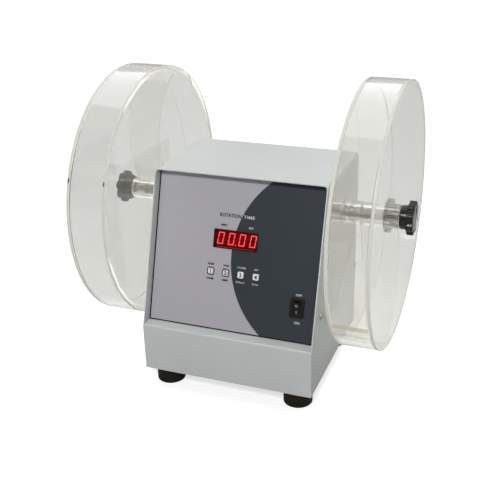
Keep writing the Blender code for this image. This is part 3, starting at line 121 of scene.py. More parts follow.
# Front panel, measured across and up the slope from its lower edge, and out of the film's face
FILM_MARGIN = 0.0008
FILM_THICKNESS = 0.0005
SHEET_FACE = -0.0008          # the fascia's sheet behind the film
INK_SPREAD = {"dark": 0.00024, "pale": 0.00004}   # how far the ink prints past the typeface's outline
CAPITAL_SHARE = 0.7           # height of a capital in the typeface's own units
LETTER_SPACING = 1.06
ARC_ACROSS = 0.104            # middle and radius of the arc between the film's two greys
ARC_UP = 0.086
ARC_RADIUS = 0.109
ARC_BLUR = 0.0001
GAP_SHADE_LAP = 0.0012           # how far the black strip of painted gap shade runs over the film, both sides together
DISPLAY_ACROSS = -0.0013
DISPLAY_TALL = 0.0210
DISPLAY_WIDE = 0.0012         # what the frame's edges stand out beyond its box, both sides together
BEZEL_FACE = 0.0012
BEZEL_BACK = -0.0018
BEZEL_RIM = 0.0010
BEZEL_EDGE = 0.0003
OPENING_CORNER = BEZEL_RIM / 3
WINDOW_FACE = 0.0003
WINDOW_BACK = -0.0013
DIGIT_COUNT = 4
DIGIT_HEIGHT = 0.0142
DIGIT_WIDTH = 0.0077
DIGIT_PITCH = 0.0126
DIGIT_START = -0.0234         # lower left corner of the first digit
DIGIT_UP = 0.0965
DIGIT_SLANT = 0.12
SEGMENT = 0.0018
SEGMENT_MIDDLE = 0.0004       # width of the bright middle of a segment
SEGMENT_GAP = 0.0001
LIGHT_HEIGHT = 0.0001
POINT_PLACE = (-0.0008, 0.0972)
POINT_RADIUS = 0.0009
LIP_SIZE = (0.0440, 0.0006)   # lower edge of the window, which the digits light up
GLOW_SHAPE = (0.3, 1.0, 1.0)  # how much a distance along X, Y and Z counts where the window's glow fades
GLOW_NEAR = 0.004             # from here it fades
GLOW_FAR = 0.0105             # and here it is weakest
GLOW_INNER = 0.42
GLOW_OUTER = 0.08
KEY_COUNT = 4
KEY_UP = 0.0654
KEY_WIDTH = 0.0068
KEY_TALL = 0.0072
KEY_CORNER = 0.0014
KEY_FACE = 0.0012
KEY_FOOT = -0.0018
KEY_EDGE = 0.0002
KEY_DIGIT = 0.0044
OUTLINED_KEYS = (1, 2)
KEY_LINE_INSIDE = (-0.0002, -0.0007)   # outline on the first two caps, from the cap's edge
KEY_LINE_OUTSIDE = (0.0010, 0.0004)    # its outer part on the film
ROCKER_FRAME_WIDTH = 0.0160
ROCKER_FRAME_TALL = 0.0216
ROCKER_FRAME_CORNER = 0.0019
ROCKER_FRAME_FACE = 0.0022
ROCKER_FRAME_EDGE = 0.0006
ROCKER_BODY_WIDTH = 0.0133
ROCKER_BODY_TALL = 0.0185
ROCKER_BODY_DEPTH = 0.0178
ROCKER_WELL_WIDTH = 0.0088
ROCKER_WELL_TALL = 0.0154
ROCKER_WELL_DEPTH = 0.0068
ROCKER_WIDTH = 0.0080
ROCKER_EDGE = 0.0004
ROCKER_STEPS = 16             # along its hollow face
ROCKER_SWING = 0.00695        # half of the rocker's length
ROCKER_MID = 0.0021           # pivot to the middle of the rocker's face
ROCKER_TIP = 0.0033           # pivot's level to the tips of the face
ROCKER_DROP = 0.0042
ROCKER_REST = radians(9)
OFF_MARK_UP = 0.0029
OFF_MARK_RADII = (0.0013, 0.0010)
ON_MARK_UP = -0.0040
ON_MARK_SIZE = (0.0004, 0.0026)

# Words on the film: their middle across and up, height, width and ink
CAPTIONS = {
    "ROTATION": (-0.0096, 0.1294, 0.0042, 0.0252, "dark"),
    "TIME": (0.0122, 0.1294, 0.0034, 0.0128, "pale"),
    "MIN": (-0.0163, 0.1183, 0.0025, 0.0071, "dark"),
    "SEC": (0.0155, 0.1180, 0.0021, 0.0057, "pale"),
    "START": (-0.0279, 0.0733, 0.0022, 0.0080, "dark"),
    "STOP": (-0.0097, 0.0733, 0.0022, 0.0070, "dark"),
    "COUNTER": (0.0083, 0.0733, 0.0019, 0.0098, "pale"),
    "SET": (0.0257, 0.0733, 0.0019, 0.0050, "pale"),
    "PAUSE": (-0.0279, 0.0570, 0.0022, 0.0082, "dark"),
    "RESET": (-0.0097, 0.0570, 0.0022, 0.0076, "dark"),
    "DISPLAY": (0.0083, 0.0570, 0.0019, 0.0104, "pale"),
    "ENTER": (0.0257, 0.0570, 0.0019, 0.0070, "pale"),
    "OFF": (0.0767, 0.0524, 0.0025, 0.0068, "pale"),
    "ON": (0.0769, 0.0220, 0.0029, 0.0061, "pale"),
}

# Power inlet, measured from the middle of its face
INLET_WIDTH = 0.0275
INLET_TALL = 0.0205
INLET_RIM = 0.0022
INLET_RIM_THICKNESS = 0.0025
INLET_EDGE = 0.0005
INLET_DEPTH = 0.0188
INLET_WALL = 0.0018
INLET_CORNER = 0.0035
BLADE_WIDTH = 0.004
BLADE_THICKNESS = 0.002
BLADE_EDGE = BLADE_THICKNESS / 4
BLADE_LENGTH = 0.010
BLADE_PLACES = {"line": (-0.00675, -0.002), "neutral": (0.00675, -0.002), "earth": (0, 0.002)}

# Cabinet screws
SCREW_HEAD = 0.0024
SCREW_SHANK = 0.002
SCREW_LENGTH = 0.006
SCREW_DOME = ((0, 1), (0.45, 0.97), (0.8, 0.75), (0.96, 0.4), (1, 0))   # shares of its radius and height
SCREW_STEPS = 48
CROSS_SHARE = 1.1             # length of the cross recess, as a share of the head's radius
CROSS_WIDTH = 0.0007
CROSS_DEPTH = 0.0011
CROSS_TURN = radians(20)

# Scale of a pattern along the lines that it makes, where 1 is its scale across them
RING_STRETCH = 0.04
SHEET_STRETCH = 0.02

# Studio light, as levels where 1 shows as white
FLOOR_PAINT = "#BEBEBE"
FLOOR_GLOW = 0.70             # what the eye sees of the sweep beyond its own lit paint
FLOOR_SIZE = 12.0
ROOM_ON_MATT = 0.12
ROOM_IN_SHINE = 0.15

# Lamps, with their kind, place, aim and own settings: a wide soft light from high behind the object, and a
# small one above and behind the camera
LAMPS = {
    "overhead_light": ("SUN", (0.05, 1.2, 2.0), (0, 0, 0.1), {"energy": 1.8, "angle": radians(80)}),
    "camera_side_softbox": ("AREA", (0.36, -1.81, 1.72), (0, 0, 0.18), {"energy": 32.5, "size": 0.30}),
}

SIDES = {"left": -1, "right": 1}
ENDS = ("front", "rear")


def joint(name):
    return next(j for j in frame["joints"] if j["name"] == name)


AXLE = Vector(joint("axle_spin")["pos_m"])
PRESS = joint("key_1_press")["axis"]
LEAN = atan2(-PRESS[2], PRESS[1])


def middle_of(name):
    """Middle of a piece's box."""
    low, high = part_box(name)
    return (low + high) / 2


def radius_of(name):
    """Radius of a round piece that turns about a line along X."""
    low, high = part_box(name)
    return (high.z - low.z) / 2


def panel_matrix():
    """Panel coordinates, X across, Y up the slope and Z out of the film's face, from the film's own box."""
    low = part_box("panel_overlay")[0]
    y = low.y - FILM_MARGIN * sin(LEAN)
    z = low.z - FILM_MARGIN * cos(LEAN) + FILM_THICKNESS * sin(LEAN)
    return Matrix.Translation((0, y, z)) @ Matrix.Rotation(pi / 2 - LEAN, 4, "X")


PANEL = panel_matrix()


def axle_matrix(side):
    """Drum coordinates: Z runs outwards along the axle, from the cabinet's middle."""
    return Matrix.Translation(AXLE) @ Matrix.Rotation(SIDES[side] * pi / 2, 4, "Y")


def span(side, node):
    """Where a piece begins and ends along the axle, counted outwards from the cabinet's middle."""
    low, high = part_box(f"{side}_{node}")
    return sorted((abs(low.x), abs(high.x)))


# Shapes


def fillet(points, radius, steps=4):
    """A closed outline with each corner rounded to the radius, or as far as its sides allow."""
    out = []
    count = len(points)
    for i, corner in enumerate(points):
        here = Vector(corner)
        before = Vector(points[i - 1]) - here
        after = Vector(points[(i + 1) % count]) - here
        angle = before.angle(after)
        if radius == 0 or pi - angle < SOFT_BEND:
            out.append(tuple(here))
            continue
        reach = min(radius / tan(angle / 2), before.length * SIDE_SHARE, after.length * SIDE_SHARE)
        bend = reach * tan(angle / 2)
        start = here + before.normalized() * reach
        end = here + after.normalized() * reach
        inwards = (before.normalized() + after.normalized()).normalized()
        middle = here + inwards * sqrt(reach ** 2 + bend ** 2)
        first = start - middle
        turn = first.angle_signed(end - middle)
        for k in range(steps + 1):
            spoke = Matrix.Rotation(-turn * k / steps, 2) @ first
            out.append(tuple(middle + spoke))
    return out


def rectangle(width, height, corner=0.0, centre=(0, 0), steps=5):
    x, y = centre
    across, up = width / 2, height / 2
    corners = [(x - across, y - up), (x + across, y - up), (x + across, y + up), (x - across, y + up)]
    return fillet(corners, corner, steps)


def circle(radius, centre=(0, 0), steps=24):
    turns = [2 * pi * i / steps for i in range(steps)]
    return [(centre[0] + radius * cos(turn), centre[1] + radius * sin(turn)) for turn in turns]


def lathe(profile, steps=64):
    """A solid turned about Z from a profile of (radius, height), open if it starts and ends on the axis."""
    bm = bmesh.new()
    verts = [bm.verts.new((radius, 0, height)) for radius, height in profile]
    closed = profile[0][0] > 0 or profile[-1][0] > 0
    pairs = zip(verts, verts[1:] + (verts[:1] if closed else []))
    edges = [bm.edges.new(pair) for pair in pairs]
    bmesh.ops.spin(bm, geom=verts + edges, cent=(0, 0, 0), axis=(0, 0, 1), angle=2 * pi, steps=steps)
    bmesh.ops.remove_doubles(bm, verts=bm.verts, dist=WELD)
    bmesh.ops.recalc_face_normals(bm, faces=bm.faces)
    return bm


def slab(outline, low, high, edge=0.0, segments=3):
    """An outline in X and Y, thickened from one height to another, with its rims rounded."""
    bm = bmesh.new()
    verts = [bm.verts.new((x, y, low)) for x, y in outline]
    face = bm.faces.new(verts)
    grown = bmesh.ops.extrude_face_region(bm, geom=[face])
    top = [item for item in grown["geom"] if isinstance(item, bmesh.types.BMVert)]
    bmesh.ops.translate(bm, verts=top, vec=(0, 0, high - low))
    bmesh.ops.recalc_face_normals(bm, faces=bm.faces)
    if edge:
        rims = [e for e in bm.edges if abs(e.verts[0].co.z - e.verts[1].co.z) < LEVEL]
        bmesh.ops.bevel(bm, geom=rims, offset=edge, segments=segments, profile=ARC_PROFILE, affect="EDGES")
    return bm


def band(outer, inner, height):
    """A flat band between two outlines with as many points each."""
    bm = bmesh.new()
    far = [bm.verts.new((x, y, height)) for x, y in outer]
    near = [bm.verts.new((x, y, height)) for x, y in inner]
    for i in range(len(far)):
        following = (i + 1) % len(far)
        bm.faces.new((far[i], far[following], near[following], near[i]))
    return bm


def placed(bm, matrix):
    bmesh.ops.transform(bm, matrix=matrix, verts=bm.verts)
    return bm


def meshed(bm, name="loose"):
    """A shape as a mesh, which uses the shape up."""
    mesh = bpy.data.meshes.new(name)
    bm.to_mesh(mesh)
    bm.free()
    return mesh


def shown(name, data):
    """Puts a mesh, a text, a lamp or a camera into the scene."""
    item = bpy.data.objects.new(name, data)
    bpy.context.scene.collection.objects.link(item)
    return item


def finished(item, *tools):
    """The shape of an object with its modifiers carried out; the object and its tools are taken away."""
    bpy.context.view_layer.update()
    evaluated = item.evaluated_get(bpy.context.evaluated_depsgraph_get())
    mesh = bpy.data.meshes.new_from_object(evaluated)
    bm = bmesh.new()
    bm.from_mesh(mesh)
    for used in (item, *tools):
        bpy.data.objects.remove(used)
    bpy.data.meshes.remove(mesh)
    return bm


def joined(*parts):
    """Several closed shapes as one."""
    bm = bmesh.new()
    for part in parts:
        mesh = meshed(part)
        bm.from_mesh(mesh)
        bpy.data.meshes.remove(mesh)
    return bm


def carved(bm, *others, operation="DIFFERENCE"):
    """A solid with other solids cut out of it, or grown together with it."""
    body = shown("loose", meshed(bm))
    tools = [shown("loose", meshed(other)) for other in others]
    for tool in tools:
        cut = body.modifiers.new("cut", "BOOLEAN")
        cut.object = tool
        cut.operation = operation
        cut.solver = "EXACT"
    return finished(body, *tools)


def piece(name, bm, finish, body, matrix=Matrix(), replaces=(), smooth=radians(30)):
    """Puts a finished shape in place, in its material, on the body that it moves with."""
    mesh = meshed(placed(bm, matrix), name)
    mesh.shade_smooth()
    mesh.set_sharp_from_angle(angle=smooth)
    for coat in finish if isinstance(finish, tuple) else (finish,):
        mesh.materials.append(coat)
    item = shown(name, mesh)
    item.modifiers.new("flat_faces", "WEIGHTED_NORMAL").keep_sharp = True
    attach(item, body)
    if replaces:
        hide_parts(*replaces)


# Materials


def linear(hex_colour):
    """A colour written as #RRGGBB in sRGB, as the shader wants it, by the sRGB standard's own numbers."""
    channels = [byte / 255 for byte in bytes.fromhex(hex_colour[1:])]
    return (*[c / 12.92 if c <= 0.04045 else ((c + 0.055) / 1.055) ** 2.4 for c in channels], 1.0)


def add(tree, kind, inputs, output=None, **settings):
    """Adds a node with its settings and its inputs, values or other nodes' outputs, and gives its output."""
    node = tree.nodes.new(kind)
    for name, value in settings.items():
        setattr(node, name, value)
    for socket, value in inputs.items():
        if isinstance(value, bpy.types.NodeSocket):
            tree.links.new(value, node.inputs[socket])
        else:
            node.inputs[socket].default_value = value
    if output:
        return node.outputs[output]
    return next((socket for socket in node.outputs if socket.enabled), None)


def blank(name):
    """A new material, its empty tree, and the object's own coordinates in it."""
    material = bpy.data.materials.new(name)
    material.use_nodes = True
    tree = material.node_tree
    tree.nodes.clear()
    return material, tree, add(tree, "ShaderNodeTexCoord", {}, "Object")


def per(millimetres):
    """Texture scale for a grain of that real size, in a scene measured in metres."""
    return 1000 / millimetres


def clouded(tree, where, millimetres, hexes, gloss=None):
    """Colour, and roughness where it isn't even, that vary over soft patches of that real size."""
    cloud = add(tree, "ShaderNodeTexNoise", {"Vector": where, "Scale": per(millimetres)})
    tone = add(tree, "ShaderNodeMix", {"Factor": cloud, "A": linear(hexes[0]), "B": linear(hexes[1])},
               data_type="RGBA")
    if gloss is None:
        return {"Base Color": tone}
    sheen = add(tree, "ShaderNodeMapRange", {"Value": cloud, "To Min": gloss[0], "To Max": gloss[1]})
    return {"Base Color": tone, "Roughness": sheen}


def grained(tree, where, millimetres, height, **pattern):
    """Relief with bumps of that real size and height."""
    grain = add(tree, "ShaderNodeTexNoise", {"Vector": where, "Scale": per(millimetres), **pattern})
    return {"Normal": add(tree, "ShaderNodeBump", {"Height": grain, "Distance": height})}


def coated(material, inputs):
    """Closes a material with its one shader."""
    tree = material.node_tree
    shader = add(tree, "ShaderNodeBsdfPrincipled", inputs)
    add(tree, "ShaderNodeOutputMaterial", {"Surface": shader})
    return material


def powder_coated_steel():
    """Polyester powder, sprayed and baked on folded steel: an even satin grey with a fine pebble."""
    material, tree, where = blank("powder_coated_steel")
    tone = clouded(tree, where, 35, ("#C5C9C8", "#CBCFCE"), (0.44, 0.54))
    # The real pebble is about 0.4 mm across, drawn coarser here so that it shows
    pebble = grained(tree, where, 1.1, 0.000035)
    return coated(material, {**tone, **pebble, "IOR": 1.5})


def printed_polyester_film():
    """Polyester film printed on its back in two greys that meet on an arc: satin and finely textured."""
    material, tree, where = blank("printed_polyester_film")
    middle = PANEL @ Vector((ARC_ACROSS, ARC_UP, 0))
    away = add(tree, "ShaderNodeVectorMath", {0: where, 1: middle}, "Value", operation="DISTANCE")
    inside = add(tree, "ShaderNodeMapRange", {
        "Value": away, "From Min": ARC_RADIUS + ARC_BLUR, "From Max": ARC_RADIUS - ARC_BLUR})
    # The real texture is about 0.1 mm fine, drawn coarser here so that it shows
    fleck = add(tree, "ShaderNodeTexNoise", {"Vector": where, "Scale": per(1.6)})
    pale, dark = [add(tree, "ShaderNodeMix", {"Factor": fleck, "A": linear(low), "B": linear(high)},
                      data_type="RGBA") for low, high in (("#AAA8AE", "#B1AFB4"), ("#272E36", "#2D343C"))]
    tone = add(tree, "ShaderNodeMix", {"Factor": inside, "A": pale, "B": dark}, data_type="RGBA")
    sheen = add(tree, "ShaderNodeMapRange", {"Value": fleck, "To Min": 0.36, "To Max": 0.44})
    tooth = grained(tree, where, 0.9, 0.000012)
    return coated(material, {"Base Color": tone, "Roughness": sheen, **tooth, "IOR": 1.57})


def cast_acrylic(name, hexes):
    """Cast acrylic sheet and tube, turned and polished: clear, with a faint grey cast and soft waves."""
    material, tree, where = blank(name)
    tone = clouded(tree, where, 28, hexes, (0.0, 0.012))
    waves = grained(tree, where, 60, 0.00003, Detail=0.0)
    # Light that has run along inside the sheet comes out pale at its edges and joints
    inside = add(tree, "ShaderNodeLightPath", {}, "Glossy Depth")
    haze = add(tree, "ShaderNodeMapRange", {"Value": inside, "From Min": HAZE_TURNS, "From Max": GLOW_TURNS,
                                            "To Min": SHEET_HAZE, "To Max": SHEET_GLOW})
    clear = add(tree, "ShaderNodeBsdfPrincipled", {
        **tone, **waves, "IOR": 1.49, "Transmission Weight": 1.0,
        "Emission Color": linear("#F4EEE2"), "Emission Strength": haze})
    # The lamps shine through, where the sheet would otherwise throw a solid shadow
    shadow = add(tree, "ShaderNodeLightPath", {}, "Is Shadow Ray")
    passing = add(tree, "ShaderNodeBsdfTransparent", {"Color": linear("#F8F8F6")})
    both = add(tree, "ShaderNodeMixShader", {0: shadow, 1: clear, 2: passing})
    add(tree, "ShaderNodeOutputMaterial", {"Surface": both})
    return material


def sawn_acrylic_edge():
    """Edge of the acrylic sheet, turned and fine sanded: frosted and pale, lit by what the sheet gathers."""
    material, tree, where = blank("sawn_acrylic_edge")
    streaks = clouded(tree, where, 4, ("#CDCFC7", "#D8D9D1"), (0.3, 0.45))
    return coated(material, {**streaks, "IOR": 1.49, "Transmission Weight": 0.25,
                             "Emission Color": linear("#E9E8DE"), "Emission Strength": EDGE_GLOW})


def solvent_cement():
    """Solvent cement run into a joint of the acrylic: a thin clear film that has yellowed a little."""
    material, tree, where = blank("solvent_cement")
    tone = clouded(tree, where, 6, ("#ECE9CC", "#F2F0DA"))
    return coated(material, {**tone, "Roughness": 0.2, "IOR": 1.48, "Transmission Weight": 0.9})


def moulded_phenolic(name, gloss, mirroring):
    """Black phenolic, compression moulded: deep black with faint flow marks, polished more or less."""
    material, tree, where = blank(name)
    flow = clouded(tree, where, 5, ("#090806", "#100E0B"), gloss)
    ripple = grained(tree, where, 2.2, 0.000008)
    return coated(material, {**flow, **ripple, "IOR": 1.6, "Specular IOR Level": mirroring})


def moulded_black_plastic():
    """Black ABS, injection moulded in a spark-eroded mould: an even, slightly brown satin black."""
    material, tree, where = blank("moulded_black_plastic")
    tone = clouded(tree, where, 3, ("#0A0703", "#100C07"), (0.38, 0.5))
    # Spark erosion leaves pits of about 0.1 mm, drawn coarser here so that they show
    pits = grained(tree, where, 0.9, 0.00002)
    return coated(material, {**tone, **pits, "IOR": 1.53, "Specular IOR Level": 0.35})


def black_rubber():
    """Vulcanised rubber, moulded: dull warm black that greys where it is handled."""
    material, tree, where = blank("black_rubber")
    bloom = clouded(tree, where, 7, ("#150F04", "#1D1608"), (0.55, 0.7))
    # The mould's blasted grain is about 0.2 mm across, drawn coarser here so that it shows
    grain = grained(tree, where, 1.2, 0.00004)
    return coated(material, {**bloom, **grain, "IOR": 1.52, "Specular IOR Level": 0.3})


def ground_steel():
    """Stainless bar, turned and ground: bright, with fine rings round its axis."""
    material, tree, where = blank("ground_steel")
    # Ground rings are well under 0.1 mm apart, drawn coarser here so that they show
    drawn = add(tree, "ShaderNodeMapping", {"Vector": where, "Scale": (1.0, RING_STRETCH, RING_STRETCH)})
    rings = clouded(tree, drawn, 0.8, ("#A9A8A4", "#C6C5C1"), (0.16, 0.3))
    return coated(material, {**rings, "Metallic": 1.0})


def zinc_plated_steel():
    """Steel, zinc plated and clear passivated: pale, slightly bluish and clouded."""
    material, tree, where = blank("zinc_plated_steel")
    spangle = clouded(tree, where, 9, ("#AEB1B3", "#C4C6C6"), (0.28, 0.42))
    return coated(material, {**spangle, "Metallic": 1.0})


def silver_lacquer():
    """Pale, faintly metallic satin with fine flecks, the same from all sides: a painted highlight on the trim
    ring round the knob's cap.
    """
    material, tree, where = blank("silver_lacquer")
    # Fine flecks, drawn as coarse as they need to show
    highlight_flecks = clouded(tree, where, 1.0, ("#E6E7E7", "#F1F1F1"), (0.45, 0.6))
    return coated(material, {**highlight_flecks, "Metallic": 0.2, "IOR": 1.5})


def coppered_screw_steel():
    """Steel screw under a worn copper wash: warm and dull, brown where it has tarnished."""
    material, tree, where = blank("coppered_screw_steel")
    tarnish = clouded(tree, where, 1.6, ("#7A6A60", "#DCCFC6"), (0.5, 0.3))
    return coated(material, {**tarnish, "Metallic": 1.0})


def nickel_plated_brass():
    """Pressed brass blade, nickel plated: bright with a warm cast."""
    material, tree, where = blank("nickel_plated_brass")
    wear = clouded(tree, where, 2.5, ("#BDB8A8", "#D5D2C8"), (0.18, 0.3))
    return coated(material, {**wear, "Metallic": 1.0})


def red_filter_window():
    """Red acrylic filter, moulded: very dark with a front that hardly mirrors, deep red where the
    digits' light spreads in it."""
    material, tree, where = blank("red_filter_window")
    middle = PANEL @ Vector((DISPLAY_ACROSS, DIGIT_UP + DIGIT_HEIGHT / 2, 0))
    away = add(tree, "ShaderNodeVectorMath", {0: where, 1: middle}, "Vector", operation="SUBTRACT")
    # Drawn together along the row of digits, so that the glow fades towards all four sides alike
    flat = add(tree, "ShaderNodeVectorMath", {0: away, 1: GLOW_SHAPE}, "Vector", operation="MULTIPLY")
    far = add(tree, "ShaderNodeVectorMath", {0: flat}, "Value", operation="LENGTH")
    glow = add(tree, "ShaderNodeMapRange", {"Value": far, "From Min": GLOW_NEAR, "From Max": GLOW_FAR,
                                            "To Min": GLOW_INNER, "To Max": GLOW_OUTER})
    tone = clouded(tree, where, 8, ("#180200", "#200301"), (0.3, 0.4))
    return coated(material, {**tone, "IOR": 1.49, "Specular IOR Level": 0.15,
                             "Emission Color": linear("#8C0202"), "Emission Strength": glow})


def lit_segment(name, hex_glow):
    """Light bar of a lit segment display: saturated red at its edges, hot and pinkish along its middle."""
    material, tree, where = blank(name)
    haze = add(tree, "ShaderNodeTexNoise", {"Vector": where, "Scale": per(2)})
    level = add(tree, "ShaderNodeMapRange", {"Value": haze, "To Min": 0.85, "To Max": 1.15})
    return coated(material, {"Base Color": linear("#1A0404"), "Roughness": 0.3,
                             "Emission Color": linear(hex_glow), "Emission Strength": level})


def moulded_white_plastic():
    """White ABS, injection moulded: a clean, slightly warm white."""
    material, tree, where = blank("moulded_white_plastic")
    tone = clouded(tree, where, 4, ("#E8E7E6", "#EFEEED"), (0.3, 0.4))
    return coated(material, {**tone, "IOR": 1.53})


def screen_ink(name, hexes):
    """Screen printing ink, laid through a mesh: flat and opaque, a touch uneven."""
    material, tree, where = blank(name)
    # The mesh has about 0.1 mm between its threads, drawn coarser here so that it shows
    lay = clouded(tree, where, 0.7, hexes)
    return coated(material, {**lay, "Roughness": 0.5, "IOR": 1.5})


def solder_masked_board():
    """Glass-fibre board under green solder mask: satin green with a faint weave."""
    material, tree, where = blank("solder_masked_board")
    tone = clouded(tree, where, 1.2, ("#12502A", "#1B6537"))
    # Glass cloth has threads every 0.5 mm, drawn at double that so that they show
    weave = grained(tree, where, 1.0, 0.00002)
    return coated(material, {**tone, **weave, "Roughness": 0.35, "IOR": 1.55})


def varnished_core():
    """Stacked transformer steel under varnish: dark brown, with thin lines between the sheets."""
    material, tree, where = blank("varnished_core")
    # Sheets are 0.5 mm thick, and their edges run along X and Z
    stacked = add(tree, "ShaderNodeMapping", {"Vector": where, "Scale": (SHEET_STRETCH, 1.0, SHEET_STRETCH)})
    sheets = clouded(tree, stacked, 0.5, ("#3A2F28", "#6A5A4C"), (0.35, 0.55))
    return coated(material, {**sheets, "Metallic": 0.6})


def die_cast_alloy():
    """Zinc alloy, die cast and left as cast: dull grey, slightly grainy."""
    material, tree, where = blank("die_cast_alloy")
    skin = clouded(tree, where, 3, ("#7F8184", "#97999C"), (0.45, 0.6))
    grain = grained(tree, where, 0.8, 0.00003)
    return coated(material, {**skin, **grain, "Metallic": 1.0})


def enamelled_motor_can():
    """Drawn steel can under grey stove enamel: smooth and satin."""
    material, tree, where = blank("enamelled_motor_can")
    tone = clouded(tree, where, 12, ("#4A4C4F", "#55575A"), (0.3, 0.42))
    return coated(material, {**tone, "IOR": 1.5})


POWDER = powder_coated_steel()
FILM = printed_polyester_film()
ACRYLIC = cast_acrylic("cast_acrylic", ("#E3E3E1", "#E7E7E5"))
# A paler copy of the acrylic for the scoop's faces: painted light that lifts how dark the scoop looks through
# the drum
SCOOP_PALER_ACRYLIC = cast_acrylic("paler_scoop_acrylic", ("#F4F4F2", "#F7F7F5"))
ACRYLIC_EDGE = sawn_acrylic_edge()
CEMENT = solvent_cement()
PHENOLIC = moulded_phenolic("moulded_phenolic", (0.20, 0.28), 0.3)
POLISHED_PHENOLIC = moulded_phenolic("polished_phenolic", (0.04, 0.08), 0.9)
BLACK_ABS = moulded_black_plastic()
RUBBER = black_rubber()
STEEL = ground_steel()
ZINC = zinc_plated_steel()
TRIM_HIGHLIGHT = silver_lacquer()
SCREW_STEEL = coppered_screw_steel()
NICKEL = nickel_plated_brass()
WINDOW = red_filter_window()
LIT_EDGE = lit_segment("lit_segment_edge", "#FF0818")
LIT_MIDDLE = lit_segment("lit_segment_middle", "#FF8490")
LIP = lit_segment("lit_window_edge", "#A81210")
WHITE_ABS = moulded_white_plastic()
INKS = {"dark": screen_ink("dark_screen_ink", ("#0A0B0E", "#131418")),
        "pale": screen_ink("pale_screen_ink", ("#D2D3D8", "#DEDFE3"))}
BOARD = solder_masked_board()
CORE = varnished_core()
ALLOY = die_cast_alloy()
MOTOR_ENAMEL = enamelled_motor_can()


# Drums

DRUM_FINISHES = (ACRYLIC, ACRYLIC_EDGE, SCOOP_PALER_ACRYLIC, CEMENT)
SAWN, PALER_SCOOP, CEMENTED = 1, 2, 3   # places in that list, after the polished acrylic


def frosted_rim(bm, radius, low, high):
    """Gives the sawn finish to the faces of a disc's outer rim."""
    inside = radius - DISC_EDGE - ON_FACE
    for face in bm.faces:
        if all(vert.co.xy.length > inside and low - ON_FACE < vert.co.z < high + ON_FACE
               for vert in face.verts):
            face.material_index = SAWN
    return bm


def cover_disc(side):
    """Front disc that lifts off with the knob."""
    start, end = span(side, "cover_disc")
    radius = radius_of(f"{side}_cover_disc")
    bore = radius_of(f"{side}_clamp_stud") + SEAT
    profile = fillet([(bore, start), (radius, start), (radius, end), (bore, end)], DISC_EDGE, steps=2)
    piece(f"{side}_cover_disc_polished", frosted_rim(lathe(profile, DRUM_STEPS), radius, start, end),
          (ACRYLIC, ACRYLIC_EDGE), f"{side}_cover", axle_matrix(side),
          (f"{side}_cover_disc",), POLISH_TURN)


def scoop_outline(side):
    """The curved scoop in drum coordinates: its root passes the tube and its tip runs into the ring."""
    outside = SCOOP_INSIDE + SCOOP_PLATE
    reach = outside + SEAT + TUBE_RADIUS
    centre = Vector((reach * sin(SCOOP_TURN), reach * cos(SCOOP_TURN)))
    to_axle = atan2(-centre.y, -centre.x)
    tip = DRUM_BORE + JOINT_OVERLAP

    def arc(radius):
        first = to_axle - SCOOP_ROOT / outside
        last = to_axle + acos((reach ** 2 + radius ** 2 - tip ** 2) / (2 * reach * radius))
        angles = [first + (last - first) * i / SCOOP_STEPS for i in range(SCOOP_STEPS + 1)]
        return [(centre.x + radius * cos(a), -SIDES[side] * (centre.y + radius * sin(a))) for a in angles]

    return arc(SCOOP_INSIDE) + arc(outside)[::-1]


def grub_hole(side):
    """Drill that opens the hub tube over the grub screw."""
    middle = axle_matrix(side).inverted() @ middle_of(f"{side}_hub_screw")
    around = Matrix.Rotation(atan2(middle.y, middle.x), 4, "Z")
    lie = Matrix.Translation((0, 0, middle.z)) @ around @ Matrix.Rotation(pi / 2, 4, "Y")
    return placed(slab(circle(GRUB_HOLE), TUBE_BORE / 2, TUBE_RADIUS + OVERRUN), lie)


def drum(side):
    """Back disc, ring, scoop and hub tube: solvent cement has made one clear body of them."""
    start, floor = span(side, "back_disc")
    ring_end = span(side, "drum_ring")[1]
    tube_start, tube_end = span(side, "hub_tube")
    scoop_end = span(side, "scoop")[1]
    radius = radius_of(f"{side}_back_disc")
    profile = fillet([
        (TUBE_BORE, tube_start), (TUBE_RADIUS, tube_start), (TUBE_RADIUS, start), (radius, start),
        (radius, floor), (radius, ring_end), (DRUM_BORE, ring_end), (DRUM_BORE, floor), (TUBE_RADIUS, floor),
        (TUBE_RADIUS, tube_end), (TUBE_BORE, tube_end)], DISC_EDGE, steps=2)
    cup = lathe(profile, DRUM_STEPS)
    scoop = slab(scoop_outline(side), floor - JOINT_OVERLAP, scoop_end)
    whole = carved(carved(cup, scoop, operation="UNION"), grub_hole(side))
    near, far = TUBE_RADIUS * SCOOP_FACES[0], DRUM_BORE * SCOOP_FACES[1]
    for face in whole.faces:
        middle = face.calc_center_median()
        if near < middle.xy.length < far and middle.z > floor + 2 * DISC_EDGE:
            # A smear of cement has run along the scoop's free edge; its other faces take the paler copy of
            # the acrylic, which paints light on them
            face.material_index = CEMENTED if middle.z > scoop_end - ON_FACE else PALER_SCOOP
    piece(f"{side}_drum_polished", frosted_rim(whole, radius, start, floor), DRUM_FINISHES, "axle",
          axle_matrix(side),
          [f"{side}_{node}" for node in ("back_disc", "drum_ring", "scoop", "hub_tube")], POLISH_TURN)


def ring_seam(side):
    """Strip of cement where the ends of the rolled ring meet."""
    start, end = span(side, "back_disc")[1] + SEAT, span(side, "drum_ring")[1]
    half = RING_SEAM_WIDTH / DRUM_BORE / 2
    angles = [RING_SEAM[side] + half * (2 * k / RING_SEAM_STEPS - 1) for k in range(RING_SEAM_STEPS + 1)]
    near, far = [[(reach * cos(a), reach * sin(a)) for a in angles]
                 for reach in (DRUM_BORE - SEAT, DRUM_BORE - INK)]
    piece(f"{side}_ring_seam_cement", slab(near + far[::-1], start, end), CEMENT, "axle",
          axle_matrix(side))


